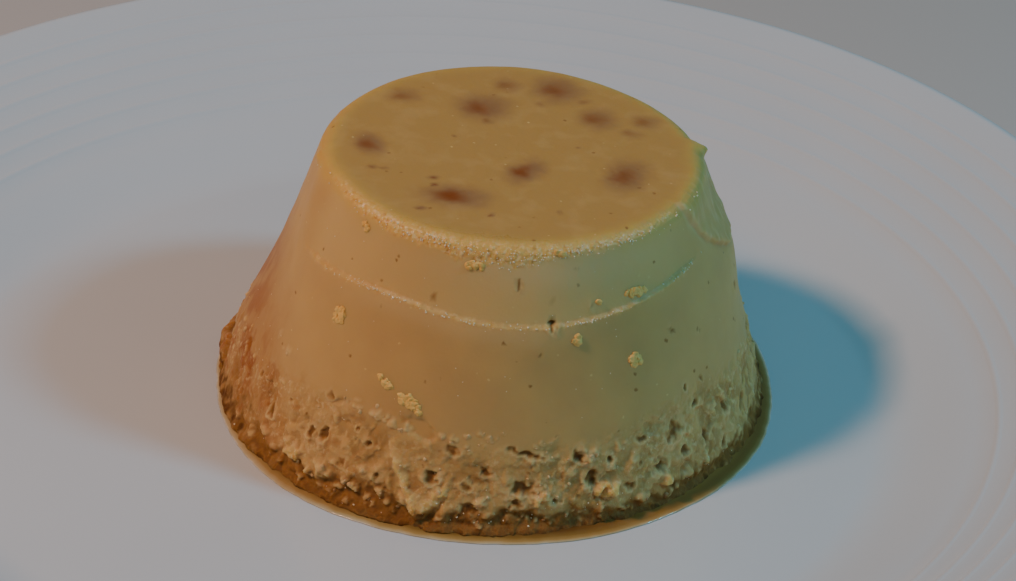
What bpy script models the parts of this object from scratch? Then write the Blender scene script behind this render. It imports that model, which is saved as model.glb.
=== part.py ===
"""Panna cotta turned out of its mould onto a dessert plate, in a thin pool of syrup.

The origin is on the table under the plate's centre, +Z is up and the side with the
pressed-in panel faces -Y. Azimuths on the pudding are in degrees: 0 faces -Y and
+90 faces +X. Every length is in metres.
"""

import math

import bmesh
import bpy
from mathutils import Vector, noise

MM = 0.001
GAP = 0.3 * MM                      # left between two solids that touch

# Plate
PLATE_SIDES = 64
PLATE_RADIUS = 105 * MM
PLATE_HEIGHT = 22.3 * MM
FLOOR_TOP = 6.5 * MM
FLOOR_THICKNESS = 4.1 * MM
WELL_RADIUS = 64.3 * MM             # flat floor ends here
WALL_TOP_RADIUS = 79.0 * MM         # curved wall ends and the rim begins
WALL_TOP_HEIGHT = 11.0 * MM
RIM_THICKNESS = 3.4 * MM
RIM_CROWN = 0.12                    # how far the rim bulges over a straight slope
FOOT_RADIUS = 56.0 * MM
FOOT_WIDTH = 3.0 * MM
FOOT_FLARE = 1.2 * MM
UNDERSIDE = ((74.0 * MM, 4.6 * MM), (66.0 * MM, 2.4 * MM))   # radius and height under the wall
WALL_STEPS = 6
RING_COUNT = 6
RING_FIRST_RADIUS = 81.5 * MM
RING_PITCH = 3.5 * MM
RING_RELIEF = 0.3 * MM

# Pudding
FOOT_SIDES = 144                    # corners round the foot; every second one goes on up
PUDDING_PLACE = (11.9 * MM, 5.4 * MM)
PUDDING_HEIGHT = 37.3 * MM
PUDDING_FOOT_RADIUS = 38.3 * MM
PUDDING_TOP_RADIUS = 25.7 * MM
FOOT_SHIFT = -0.8 * MM              # the pudding leans: its axis runs from here
TOP_SHIFT = 1.1 * MM                # to here, along X
TOP_SLOPE = -0.046                  # its top falls towards +X
RIM_ROUNDING = 1.6 * MM
FOOT_ROWS = 13
MIDDLE_ROWS = 6
LEDGE_ROWS = 11
TOP_RINGS = 3
RIM_STEPS = 3

# Panel pressed into the upper front, with a ledge under it
LEDGE_HEIGHT = 26.9 * MM
LEDGE_RISE = 1.3 * MM
PANEL_AZIMUTH = -3.0
PANEL_HALF_WIDTH = 69.0
PANEL_DEPTH = 0.6 * MM
LIP_DEPTH = 0.25 * MM

# Swellings of the side: azimuth, height, width in degrees, height spread, size
SWELLINGS = (
    (-99.0, 7.0 * MM, 17.0, 6.0 * MM, 1.4 * MM),
    (-101.0, 2.4 * MM, 5.5, 1.5 * MM, 1.5 * MM),
    (97.0, 23.5 * MM, 17.0, 4.6 * MM, 1.5 * MM),
    (104.0, 36.5 * MM, 2.5, 0.9 * MM, 1.2 * MM),
    (-74.0, 33.0 * MM, 4.0, 4.0 * MM, 0.5 * MM),
)
# Torn flap of custard beside the panel: azimuth and height of the fold along its edge
FLAP_EDGE = ((61.0, 40.0), (63.7, 35.6), (66.0, 33.9), (69.0, 31.7), (72.0, 30.0),
             (75.4, 28.6), (81.5, 26.5), (87.0, 24.9), (94.0, 25.6), (102.0, 29.0), (108.0, 40.0))
FLAP_BOTTOM = 22.0 * MM             # from here up, its columns are kept close together
FLAP_THICKNESS = 0.8 * MM
FLAP_ROLL = 0.3 * MM

# Crumbly band round the foot
CRAG_TOP = 12.6 * MM
CRAG_SWAY = 1.2 * MM
FOOT_UNDERCUT = 0.5 * MM            # the wet foot stands back under the crumbs
SYRUP_LEVEL = 1.1 * MM              # up to here the foot is smooth, clear of the syrup
CRUMB_SIZE = 2.2 * MM
CRUMB_RELIEF = 0.7 * MM
PIT_SPACING = 3.8 * MM
PIT_DEPTH = 1.5 * MM
HOLLOW_TOP = 4.4 * MM               # syrup has eaten the foot away up to about here
HOLLOW_DEPTH = 1.1 * MM
# Tongues of firm custard left hanging over the hollows: azimuth, width in degrees
TONGUES = ((-16.0, 5.0), (9.0, 3.0), (24.0, 3.5), (39.0, 3.5), (-52.0, 4.0), (62.0, 4.0),
           (118.0, 5.0), (161.0, 6.0), (-150.0, 5.0), (-118.0, 4.0))

# Syrup
SYRUP_RADIUS = 40.1 * MM
SYRUP_DRAWN_IN = 1.3 * MM           # the pool is narrower on the right
SYRUP_LEAST_WIDTH = 0.6 * MM        # and it shows at least this far past the crumbs
SYRUP_DEPTH = 0.9 * MM
SYRUP_EDGE = 0.35 * MM


def clear_scene():
    """Remove whatever the file opened with."""
    for thing in list(bpy.data.objects):
        bpy.data.objects.remove(thing, do_unlink=True)


def material(name, colour, roughness):
    """A plain, non-metallic finish."""
    made = bpy.data.materials.new(name)
    made.use_nodes = True
    shader = made.node_tree.nodes["Principled BSDF"]
    shader.inputs["Base Color"].default_value = (*colour, 1.0)
    shader.inputs["Roughness"].default_value = roughness
    shader.inputs["Metallic"].default_value = 0.0
    return made


def smooth_step(low, high, value):
    """0 below low, 1 above high, with a soft change between them."""
    share = min(max((value - low) / (high - low), 0.0), 1.0)
    return share * share * (3.0 - 2.0 * share)


def bell(distance, width):
    """1 at no distance, falling off like a bell curve."""
    return math.exp(-0.5 * (distance / width) ** 2)


def turn_between(azimuth, centre):
    """How far an azimuth lies from a centre, the short way round, in degrees."""
    return (azimuth - centre + 180.0) % 360.0 - 180.0


def finish(builder, name, look):
    """Turn a built mesh into a named, smooth-shaded object."""
    bmesh.ops.recalc_face_normals(builder, faces=builder.faces)
    mesh = bpy.data.meshes.new(name)
    builder.to_mesh(mesh)
    builder.free()
    mesh.materials.append(look)
    mesh.shade_smooth()
    mesh.set_sharp_from_angle(angle=math.radians(40))
    bpy.context.collection.objects.link(bpy.data.objects.new(name, mesh))


def spun(section, sides, closed=False):
    """A section in the XZ plane, spun once round the Z axis."""
    builder = bmesh.new()
    corners = [builder.verts.new((reach, 0.0, height)) for reach, height in section]
    following = corners[1:] + corners[:1] if closed else corners[1:]
    edges = [builder.edges.new(pair) for pair in zip(corners, following)]
    bmesh.ops.spin(
        builder, geom=corners + edges, cent=(0, 0, 0), axis=(0, 0, 1),
        angle=math.tau, steps=sides, use_merge=True,
    )
    bmesh.ops.remove_doubles(builder, verts=builder.verts, dist=0.01 * MM)
    return builder


def rim_height(radius):
    """Height of the rim's upper face, which eases off towards the lip."""
    share = (radius - WALL_TOP_RADIUS) / (PLATE_RADIUS - WALL_TOP_RADIUS)
    climb = PLATE_HEIGHT - WALL_TOP_HEIGHT
    return WALL_TOP_HEIGHT + climb * (share + RIM_CROWN * share * (1.0 - share))


def plate_section():
    """Half of the plate's section, from the middle of the floor round to its underside."""
    section = [(0.0, FLOOR_TOP), (WELL_RADIUS, FLOOR_TOP)]
    for step in range(1, WALL_STEPS + 1):
        share = step / WALL_STEPS
        radius = WELL_RADIUS + (WALL_TOP_RADIUS - WELL_RADIUS) * share
        bend = 0.55 * share ** 2 + 0.45 * smooth_step(0.0, 1.0, share)
        section.append((radius, FLOOR_TOP + (WALL_TOP_HEIGHT - FLOOR_TOP) * bend))
    for ring in range(RING_COUNT):
        crest = RING_FIRST_RADIUS + ring * RING_PITCH
        section.append((crest, rim_height(crest) + RING_RELIEF))
        groove = crest + RING_PITCH / 2
        section.append((groove, rim_height(groove)))
    lip = RIM_THICKNESS / 2
    for turn in (100, 50, 0, -50):
        out, up = lip * math.cos(math.radians(turn)), lip * math.sin(math.radians(turn))
        section.append((PLATE_RADIUS - lip + out, PLATE_HEIGHT - lip + up))
    for radius in (PLATE_RADIUS - 9.0 * MM, WALL_TOP_RADIUS + 5.0 * MM):
        section.append((radius, rim_height(radius) - RIM_THICKNESS))
    section += UNDERSIDE
    underside = FLOOR_TOP - FLOOR_THICKNESS
    inner = FOOT_RADIUS - FOOT_WIDTH
    section += [(FOOT_RADIUS + FOOT_FLARE, 0.7 * underside), (FOOT_RADIUS, 0.0)]
    section += [(inner, 0.0), (inner - FOOT_FLARE, underside), (0.0, underside)]
    return section


def make_plate():
    """The plate: its section spun round the Z axis."""
    look = material("glazed_porcelain", (0.86, 0.86, 0.84), 0.12)
    finish(spun(plate_section(), PLATE_SIDES), "plate", look)


def ledge_height(azimuth):
    """The ledge dips in the middle and climbs towards its right end."""
    turn = turn_between(azimuth, 4.0)
    left = LEDGE_RISE * bell(turn + 36.0, 14.0)
    right = LEDGE_RISE * 2.0 * smooth_step(5.0, 70.0, turn)
    return LEDGE_HEIGHT + left + right


def panel_relief(azimuth, height):
    """The panel lies deepest over the ledge and runs out towards the rim and its ends."""
    turn = abs(turn_between(azimuth, PANEL_AZIMUTH))
    across = 1.0 - smooth_step(PANEL_HALF_WIDTH - 12.0, PANEL_HALF_WIDTH, turn)
    over = height - ledge_height(azimuth)
    sunk = smooth_step(-0.2 * MM, 0.5 * MM, over)
    fade = 1.0 - 0.65 * smooth_step(2.0 * MM, 9.0 * MM, over)
    lip = bell(over + 0.9 * MM, 0.7 * MM) * LIP_DEPTH
    return across * (lip - PANEL_DEPTH * sunk * fade)


def flap_relief(azimuth, height):
    """A flap that hangs over the side and ends in a rolled fold."""
    if not FLAP_EDGE[0][0] < azimuth < FLAP_EDGE[-1][0]:
        return 0.0
    for (start, low), (end, high) in zip(FLAP_EDGE, FLAP_EDGE[1:]):
        if azimuth <= end:
            edge = (low + (high - low) * (azimuth - start) / (end - start)) * MM
            break
    over = height - edge
    roll = FLAP_ROLL * bell(over - 1.0 * MM, 0.9 * MM)
    return FLAP_THICKNESS * smooth_step(-0.9 * MM, 0.9 * MM, over) + roll


def crag_share(azimuth, height):
    """How crumbly the side is: 1 in the band round the foot, 0 above it and in the syrup."""
    top = CRAG_TOP + CRAG_SWAY * math.cos(math.radians(4.0 * (azimuth + 41.0)))
    above = smooth_step(top - 3.0 * MM, top + 0.5 * MM, height)
    return (1.0 - above) * smooth_step(SYRUP_LEVEL, SYRUP_LEVEL + 1.0 * MM, height)


def pit_depth(place):
    """Burst bubbles of uneven size: 1 in the middle of a pit, 0 between the pits."""
    bent = place + noise.noise_vector(place / CRUMB_SIZE) * 0.35 * CRUMB_SIZE
    distances, centres, *_ = noise.voronoi(bent / PIT_SPACING)
    size = 0.2 + 0.28 * noise.cell(centres[0] * 31.0)
    return 1.0 - smooth_step(0.4 * size, 1.3 * size, distances[0])


def hollow_depth(azimuth, height, place):
    """The softened foot: 1 in the hollows, 0 over them and behind the tongues."""
    tongue = max(bell(turn_between(azimuth, centre), spread) for centre, spread in TONGUES)
    ceiling = HOLLOW_TOP * (1.0 + 0.8 * noise.noise(place / (2.0 * PIT_SPACING)) - tongue)
    return 1.0 - smooth_step(ceiling - 1.4 * MM, ceiling + 1.4 * MM, height)


def crag_relief(azimuth, height, place):
    """Crumbs and pits in the band round the foot, and the hollows under them."""
    share = crag_share(azimuth, height)
    if share == 0.0:
        return 0.0
    crumbs = CRUMB_RELIEF * noise.fractal(place / CRUMB_SIZE, 0.8, 2.0, 2)
    hollow = hollow_depth(azimuth, height, place)
    return share * (crumbs - PIT_DEPTH * pit_depth(place) - HOLLOW_DEPTH * hollow)


def pudding_radius(azimuth, height):
    """Distance from the leaning axis to the side, at an azimuth and a height."""
    share = height / PUDDING_HEIGHT
    cone = PUDDING_FOOT_RADIUS + (PUDDING_TOP_RADIUS - PUDDING_FOOT_RADIUS) * share
    cone -= FOOT_UNDERCUT * (1.0 - smooth_step(SYRUP_LEVEL, SYRUP_LEVEL + 1.0 * MM, height))
    for centre, level, spread, rise, size in SWELLINGS:
        cone += size * bell(turn_between(azimuth, centre), spread) * bell(height - level, rise)
    angle = math.radians(azimuth)
    place = Vector((math.sin(angle) * cone, -math.cos(angle) * cone, height))
    wobble = 0.35 * MM * noise.noise(place / (16 * MM))
    return (
        cone + wobble + panel_relief(azimuth, height) + flap_relief(azimuth, height)
        + crag_relief(azimuth, height, place)
    )


def pudding_point(azimuth, radius, height):
    """A point of the pudding, at a radius from its leaning axis."""
    angle = math.radians(azimuth)
    share = height / PUDDING_HEIGHT
    shift = FOOT_SHIFT + (TOP_SHIFT - FOOT_SHIFT) * share
    across = shift + radius * math.sin(angle)
    fall = TOP_SLOPE * (across - TOP_SHIFT) * smooth_step(0.4, 1.0, share)
    return (
        PUDDING_PLACE[0] + across,
        PUDDING_PLACE[1] - radius * math.cos(angle),
        FLOOR_TOP + GAP + height + fall,
    )


def pudding_section():
    """Side rows, rounded rim and top, as shares of the side's radius and heights."""
    band = CRAG_TOP + CRAG_SWAY
    below = LEDGE_HEIGHT - 2.0 * MM
    above = PUDDING_HEIGHT - RIM_ROUNDING
    section = [(0.0, 0.0)]
    section += [(1.0, band * row / FOOT_ROWS) for row in range(FOOT_ROWS)]
    section += [(1.0, band + (below - band) * row / MIDDLE_ROWS) for row in range(MIDDLE_ROWS)]
    for row in range(LEDGE_ROWS + 1):
        share = row / LEDGE_ROWS
        section.append((1.0, below + (above - below) * (0.55 * share + 0.45 * share ** 2)))
    rounding = RIM_ROUNDING / PUDDING_TOP_RADIUS
    for step in range(1, RIM_STEPS + 1):
        turn = math.radians(90.0 * step / RIM_STEPS)
        reach = 1.0 - rounding * (1.0 - math.cos(turn))
        section.append((reach, above + RIM_ROUNDING * math.sin(turn)))
    for ring in range(TOP_RINGS - 1, -1, -1):
        section.append(((1.0 - rounding) * ring / TOP_RINGS, PUDDING_HEIGHT))
    return section


def azimuth_of(corner):
    """Azimuth of a corner about the Z axis."""
    return math.degrees(math.atan2(corner.co.x, -corner.co.y))


def thin_out(builder, height):
    """Drop every second upright line of a spun drum above a height, but for the flap's."""
    spare = []
    start, end = FLAP_EDGE[0][0], FLAP_EDGE[-1][0]
    for edge in builder.edges:
        lower, upper = sorted(edge.verts, key=lambda corner: (corner.co.z, -corner.co.xy.length))
        upright = abs(turn_between(azimuth_of(lower), azimuth_of(upper))) < 0.1
        if start < azimuth_of(lower) < end and lower.co.z > FLAP_BOTTOM:
            continue
        column = round(azimuth_of(lower) / 360.0 * FOOT_SIDES)
        if column % 2 and lower.co.z > height and (upright or upper.co.xy.length == 0.0):
            spare.append(edge)
    bmesh.ops.dissolve_edges(builder, edges=spare, use_verts=True)


def make_pudding():
    """The pudding: a plain drum of rows, each corner then moved to its place."""
    builder = spun(pudding_section(), FOOT_SIDES)
    thin_out(builder, CRAG_TOP + 0.5 * CRAG_SWAY)
    for corner in builder.verts:
        azimuth = azimuth_of(corner)
        reach = math.hypot(corner.co.x, corner.co.y)
        height = corner.co.z
        corner.co = pudding_point(azimuth, reach * pudding_radius(azimuth, height), height)
    finish(builder, "panna_cotta", material("set_cream", (0.78, 0.62, 0.40), 0.4))


def syrup_edge(azimuth):
    """Outer edge of the pool about the foot's axis: nearly round, and never under the crumbs."""
    angle = math.radians(azimuth)
    ripple = 0.3 * MM * noise.noise(Vector((math.sin(angle), math.cos(angle), 0.5)) * 3.0)
    around = SYRUP_RADIUS - FOOT_SHIFT * math.sin(angle) + ripple
    around -= SYRUP_DRAWN_IN * bell(turn_between(azimuth, 92.0), 24.0)
    return max(around, pudding_radius(azimuth, 0.0) + FOOT_UNDERCUT + SYRUP_LEAST_WIDTH)


def make_syrup():
    """The pool of syrup: a low ring that starts just clear of the pudding's foot."""
    section = [
        (1.0, 0.0), (2.0, 0.0), (1.95, SYRUP_EDGE), (1.6, 0.75 * SYRUP_DEPTH), (1.0, SYRUP_DEPTH),
    ]
    builder = spun(section, FOOT_SIDES, closed=True)
    for corner in builder.verts:
        azimuth = azimuth_of(corner)
        outward = math.hypot(corner.co.x, corner.co.y) - 1.0
        height = corner.co.z
        inner = pudding_radius(azimuth, 0.0) + GAP
        radius = inner + outward * (syrup_edge(azimuth) - inner)
        x, y, _ = pudding_point(azimuth, radius, 0.0)
        corner.co = (x, y, FLOOR_TOP + GAP + height)
    finish(builder, "syrup", material("caramel_syrup", (0.30, 0.13, 0.03), 0.1))


def main():
    """Build the three pieces."""
    clear_scene()
    make_plate()
    make_pudding()
    make_syrup()


main()
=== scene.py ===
"""Looks of a panna cotta turned out on its dessert plate, in a thin pool of syrup.

The pudding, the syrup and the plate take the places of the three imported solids. The
side with the pressed-in panel faces -Y. Azimuths on the pudding are in degrees: 0 faces
-Y and +90 faces +X. Lengths are in metres, and MM turns a size in millimetres into one.
"""

from __future__ import annotations

import logging
import math
import random
from collections.abc import Callable, Iterable, Iterator
from contextlib import contextmanager
from dataclasses import dataclass, field
from enum import Enum
from typing import NamedTuple

import bpy
import numpy as np
from mathutils import Matrix, Vector, noise

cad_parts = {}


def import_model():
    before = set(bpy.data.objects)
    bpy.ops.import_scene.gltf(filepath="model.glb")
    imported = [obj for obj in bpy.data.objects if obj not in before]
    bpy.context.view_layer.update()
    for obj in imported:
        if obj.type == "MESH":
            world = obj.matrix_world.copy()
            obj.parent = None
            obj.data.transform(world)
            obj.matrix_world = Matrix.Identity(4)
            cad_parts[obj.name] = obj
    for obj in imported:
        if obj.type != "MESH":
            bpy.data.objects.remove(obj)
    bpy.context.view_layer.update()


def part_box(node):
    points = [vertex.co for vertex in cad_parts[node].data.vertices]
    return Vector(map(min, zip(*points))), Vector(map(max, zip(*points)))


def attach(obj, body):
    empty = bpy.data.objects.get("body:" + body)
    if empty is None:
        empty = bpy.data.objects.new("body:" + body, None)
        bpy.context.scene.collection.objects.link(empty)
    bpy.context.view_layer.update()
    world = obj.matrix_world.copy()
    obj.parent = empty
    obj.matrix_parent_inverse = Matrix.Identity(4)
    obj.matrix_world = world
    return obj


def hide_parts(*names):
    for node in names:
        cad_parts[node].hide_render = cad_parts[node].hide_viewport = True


LOG = logging.getLogger("panna_cotta")
MM = 0.001
NOISE_SEED = 7                      # without a seed, vector noise follows the clock
Piece = bpy.types.Object
Socket = bpy.types.NodeSocket
Inputs = dict[str | int, object]
Rows = tuple[tuple[float, ...], ...]


# --------------------------------------------------------------------------- helpers


def smooth_step(low: float, high: float, value: float) -> float:
    """Ease from 0, where the value is at low, to 1, where it is at high."""
    share = min(max((value - low) / (high - low), 0.0), 1.0)
    return share * share * (3.0 - 2.0 * share)


def bell(distance: float, width: float) -> float:
    """A bell curve: 1 in the middle and about 0.6 at a distance of one width."""
    return math.exp(-0.5 * (distance / width) ** 2)


def turn_between(azimuth: float, centre: float) -> float:
    """Signed angle from a centre to an azimuth, the short way round, in degrees."""
    return (azimuth - centre + 180.0) % 360.0 - 180.0


def turned(across: float, up: float, degrees: float) -> tuple[float, float]:
    """The same offset, measured along axes that are turned by some degrees."""
    cosine, sine = math.cos(math.radians(degrees)), math.sin(math.radians(degrees))
    return across * cosine + up * sine, up * cosine - across * sine


def cloud(point: Vector, size: float) -> float:
    """Smooth noise of one size in mm, from -1 to 1, at a point in metres."""
    return noise.noise(point / (size * MM))


def fine_cloud(point: Vector, size: float, roughness: float = 0.9, octaves: int = 3) -> float:
    """Noise of a size in mm with finer layers over it, at a point in metres."""
    return noise.fractal(point / (size * MM), roughness, 2.0, octaves)


def domes(point: Vector, spacing: float) -> float:
    """Rounded lumps, like soft curd.

    Args:
        point: The point to judge.
        spacing: Usual distance from one lump to the next, in mm.

    Returns:
        1 on the crown of a lump and near 0 between them.
    """
    apart = spacing * MM
    bent = point / apart + noise.noise_vector(point / (0.8 * apart)) * 0.35
    distances, *_ = noise.voronoi(bent)
    return bell(distances[0], 0.33)


def between(value: float, rows: Rows) -> float:
    """Read a table of pairs at a value, on straight lines from row to row."""
    return np.interp(value, [at for at, _ in rows], [result for _, result in rows])


def linear(hex_colour: str) -> tuple[float, float, float, float]:
    """Turn an sRGB hex colour into linear values.

    Args:
        hex_colour: Six hex digits, with or without a leading #.

    Returns:
        Linear red, green, blue, and an alpha of 1.
    """
    digits = hex_colour.lstrip("#")
    channels = (int(digits[at:at + 2], 16) / 255.0 for at in (0, 2, 4))
    red, green, blue = (c / 12.92 if c <= 0.04045 else ((c + 0.055) / 1.055) ** 2.4 for c in channels)
    return (red, green, blue, 1.0)


def per_mm(size_mm: float) -> float:
    """Texture scale, on coordinates in metres, at which one period is size_mm long."""
    return 1.0 / (size_mm * MM)


def fill(node: bpy.types.Node, inputs: Inputs) -> None:
    """Set or link a node's inputs.

    Args:
        node: The node.
        inputs: By name or number, a socket to link, a hex colour or another value.
    """
    for name, value in inputs.items():
        if isinstance(value, Socket):
            node.id_data.links.new(value, node.inputs[name])
        else:
            node.inputs[name].default_value = linear(value) if isinstance(value, str) else value


def add_node(tree: bpy.types.NodeTree, kind: str, inputs: Inputs, **settings: object) -> bpy.types.Node:
    """Add a shader node.

    Args:
        tree: The tree that gets the node.
        kind: The node's type, without the ShaderNode in front.
        inputs: What its inputs are set or linked to.
        **settings: Properties of the node itself.

    Returns:
        The new node.
    """
    node = tree.nodes.new("ShaderNode" + kind)
    for name, setting in settings.items():
        setattr(node, name, setting)
    fill(node, inputs)
    return node


def deselect_all() -> None:
    """Leave object mode with nothing selected."""
    if bpy.context.mode != "OBJECT":
        bpy.ops.object.mode_set(mode="OBJECT")
    bpy.ops.object.select_all(action="DESELECT")


def make_active(piece: Piece) -> None:
    """Select one piece alone and make it active."""
    deselect_all()
    piece.select_set(True)
    bpy.context.view_layer.objects.active = piece


@contextmanager
def edit_mode(kind: str, action: str = "SELECT") -> Iterator[None]:
    """Work on the active piece's corners, edges or faces.

    Args:
        kind: What is selected: VERT, EDGE or FACE.
        action: What is done to the selection first: SELECT, DESELECT or an empty name.

    Yields:
        Nothing. Object mode is back afterwards.
    """
    bpy.ops.object.mode_set(mode="EDIT")
    bpy.ops.mesh.select_mode(type=kind)
    if action:
        bpy.ops.mesh.select_all(action=action)
    yield
    bpy.ops.object.mode_set(mode="OBJECT")


def settle(piece: Piece, name: str) -> Piece:
    """Name a piece, put its place into its mesh and shade it smooth.

    Args:
        piece: The piece to finish.
        name: The name it is to have.

    Returns:
        The same piece.
    """
    make_active(piece)
    bpy.ops.object.transform_apply(location=True, rotation=True, scale=True)
    bpy.ops.object.shade_smooth()
    piece.name = piece.data.name = name
    return piece


def extruded_rings(rings: list[tuple[float, float]], sides: int) -> Piece:
    """Draw a round body up from a circle, one extruded and resized ring at a time.

    Args:
        rings: Radius and height of each ring. A ring of no radius closes the body.
        sides: Corners round each ring.

    Returns:
        The body, in object mode, with its first ring still open if it has a radius.
    """
    deselect_all()
    radius, height = rings[0]
    bpy.ops.mesh.primitive_circle_add(
        vertices=sides, radius=radius, fill_type="NOTHING", location=(0.0, 0.0, height)
    )
    with edit_mode("EDGE"):
        for next_radius, next_height in rings[1:]:
            bpy.ops.mesh.extrude_region_move(
                TRANSFORM_OT_translate={"value": (0.0, 0.0, next_height - height)}
            )
            if next_radius > 0.0:
                ratio = next_radius / radius
                bpy.ops.transform.resize(value=(ratio, ratio, 1.0), center_override=(0.0, 0.0, 0.0))
            else:
                bpy.ops.mesh.merge(type="CENTER")
            radius, height = next_radius, next_height
    return bpy.context.object


def close_bottom() -> None:
    """Close the open first ring of the active piece with a face."""
    with edit_mode("VERT", ""):
        bpy.ops.mesh.select_non_manifold()
        bpy.ops.mesh.edge_face_add()


def faces_outward(piece: Piece) -> None:
    """Turn every face of a closed piece outwards."""
    make_active(piece)
    with edit_mode("VERT"):
        bpy.ops.mesh.normals_make_consistent(inside=False)


def cut_finer(piece: Piece, wanted: Callable[[Vector], bool]) -> None:
    """Cut some of a piece's faces in four.

    Args:
        piece: The piece, in object mode.
        wanted: Says of a face's centre whether the face is to be cut.
    """
    make_active(piece)
    with edit_mode("FACE", "DESELECT"):
        pass
    faces = piece.data.polygons
    faces.foreach_set("select", [wanted(face.center) for face in faces])
    with edit_mode("FACE", ""):
        bpy.ops.mesh.subdivide(number_cuts=1)


def paint(mesh: bpy.types.Mesh, name: str, shares: Iterable[float]) -> None:
    """Store a share for each corner of a mesh, in order, for its finish to read."""
    layer = mesh.attributes.new(name, "FLOAT", "POINT")
    layer.data.foreach_set("value", np.fromiter(shares, dtype=np.float32))


# -------------------------------------------------------------------------- finishes

# What the pudding's mesh says of every corner, for its finish to read
SHARES = (
    "top", "panel", "rim", "stain", "halo", "scorch", "soak", "pale", "hollow", "grain", "crumb",
    "froth", "wet",
)


@dataclass
class Sheet:
    """A material being made. Its methods add a node each and give the node's result."""

    name: str
    base: Inputs

    def __post_init__(self) -> None:
        """Start the material with its shader and with object coordinates."""
        self.material = bpy.data.materials.new(self.name)
        self.material.use_nodes = True
        self.tree = self.material.node_tree
        self.tree.nodes.clear()
        self.shader = add_node(self.tree, "BsdfPrincipled", self.base)
        add_node(self.tree, "OutputMaterial", {"Surface": self.shader.outputs["BSDF"]})
        self.at = self.add("TexCoord", {}, "Object")

    def add(self, kind: str, inputs: Inputs, out: str | int = 0, **settings: object) -> Socket:
        """Any node, by its kind, inputs, settings and which result is wanted."""
        return add_node(self.tree, kind, inputs, **settings).outputs[out]

    def share(self, name: str) -> Socket:
        """A share that the mesh holds."""
        return self.add("Attribute", {}, "Fac", attribute_name=name)

    def noise(
        self, size: float, detail: float = 2.0, distortion: float = 0.0, out: str = "Fac"
    ) -> Socket:
        """Cloudy noise whose size is in mm."""
        scale = per_mm(size)
        inputs = {"Vector": self.at, "Scale": scale, "Detail": detail, "Distortion": distortion}
        return self.add("TexNoise", inputs, out)

    def part(self, value: Socket, start: float, end: float) -> Socket:
        """Part of a value's range spread over 0 to 1: 0 up to the start, 1 from the end on."""
        return self.add("MapRange", {"Value": value, "From Min": start, "From Max": end})

    def from_to(self, share: Socket, start: float, end: float) -> Socket:
        """A value that runs from start to end as a share runs from 0 to 1."""
        return self.add("MapRange", {"Value": share, "To Min": start, "To Max": end})

    def sum_of(self, operation: str, *values: Socket | float) -> Socket:
        """The result of a sum, product or comparison."""
        return self.add("Math", dict(enumerate(values)), operation=operation)

    def mix(self, share: Socket, under: str | Socket, over: str | Socket, label: str = "") -> Socket:
        """One colour laid over another by a share."""
        return self.add("Mix", {0: share, 6: under, 7: over}, 2, data_type="RGBA", label=label)

    def bump(self, height: Socket, strength: float | Socket, mm: float, **normal: Socket) -> Socket:
        """Relief of a depth in mm, laid over another where that one's Normal is given."""
        return self.add("Bump", {"Height": height, "Strength": strength, "Distance": mm * MM, **normal})

    def done(self, inputs: Inputs) -> bpy.types.Material:
        """Set the shader's inputs and give the finished material."""
        fill(self.shader, inputs)
        return self.material


@dataclass(frozen=True)
class Finish:
    """A named material and what every finish has in common."""

    name: str
    roughness: float
    ior: float = 1.45

    def sheet(self) -> Sheet:
        """Start the material."""
        return Sheet(self.name, {"Roughness": self.roughness, "IOR": self.ior})


@dataclass(frozen=True)
class GlazedPorcelain(Finish):
    """Hard porcelain under a clear glossy glaze: white, with a faint unevenness of the glaze.

    The foot ring is wiped bare before firing, so it is duller and a little darker.
    """

    body: str = "#DFE6E7"
    shade: str = "#D6DDDE"
    bare: str = "#CFC9BC"
    bare_height: float = 0.5 * MM

    def make(self) -> bpy.types.Material:
        """Build the material and return it."""
        sheet = self.sheet()
        tone = sheet.mix(sheet.noise(42.0, 3.0), self.body, self.shade)
        height = sheet.add("SeparateXYZ", {0: sheet.at}, "Z")
        low = sheet.sum_of("LESS_THAN", height, self.bare_height)
        return sheet.done({
            "Base Color": sheet.mix(low, tone, self.bare),
            "Roughness": sheet.from_to(low, self.roughness, 0.6),
            "Normal": sheet.bump(sheet.noise(9.0), 0.06, 0.4),
        })


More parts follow.
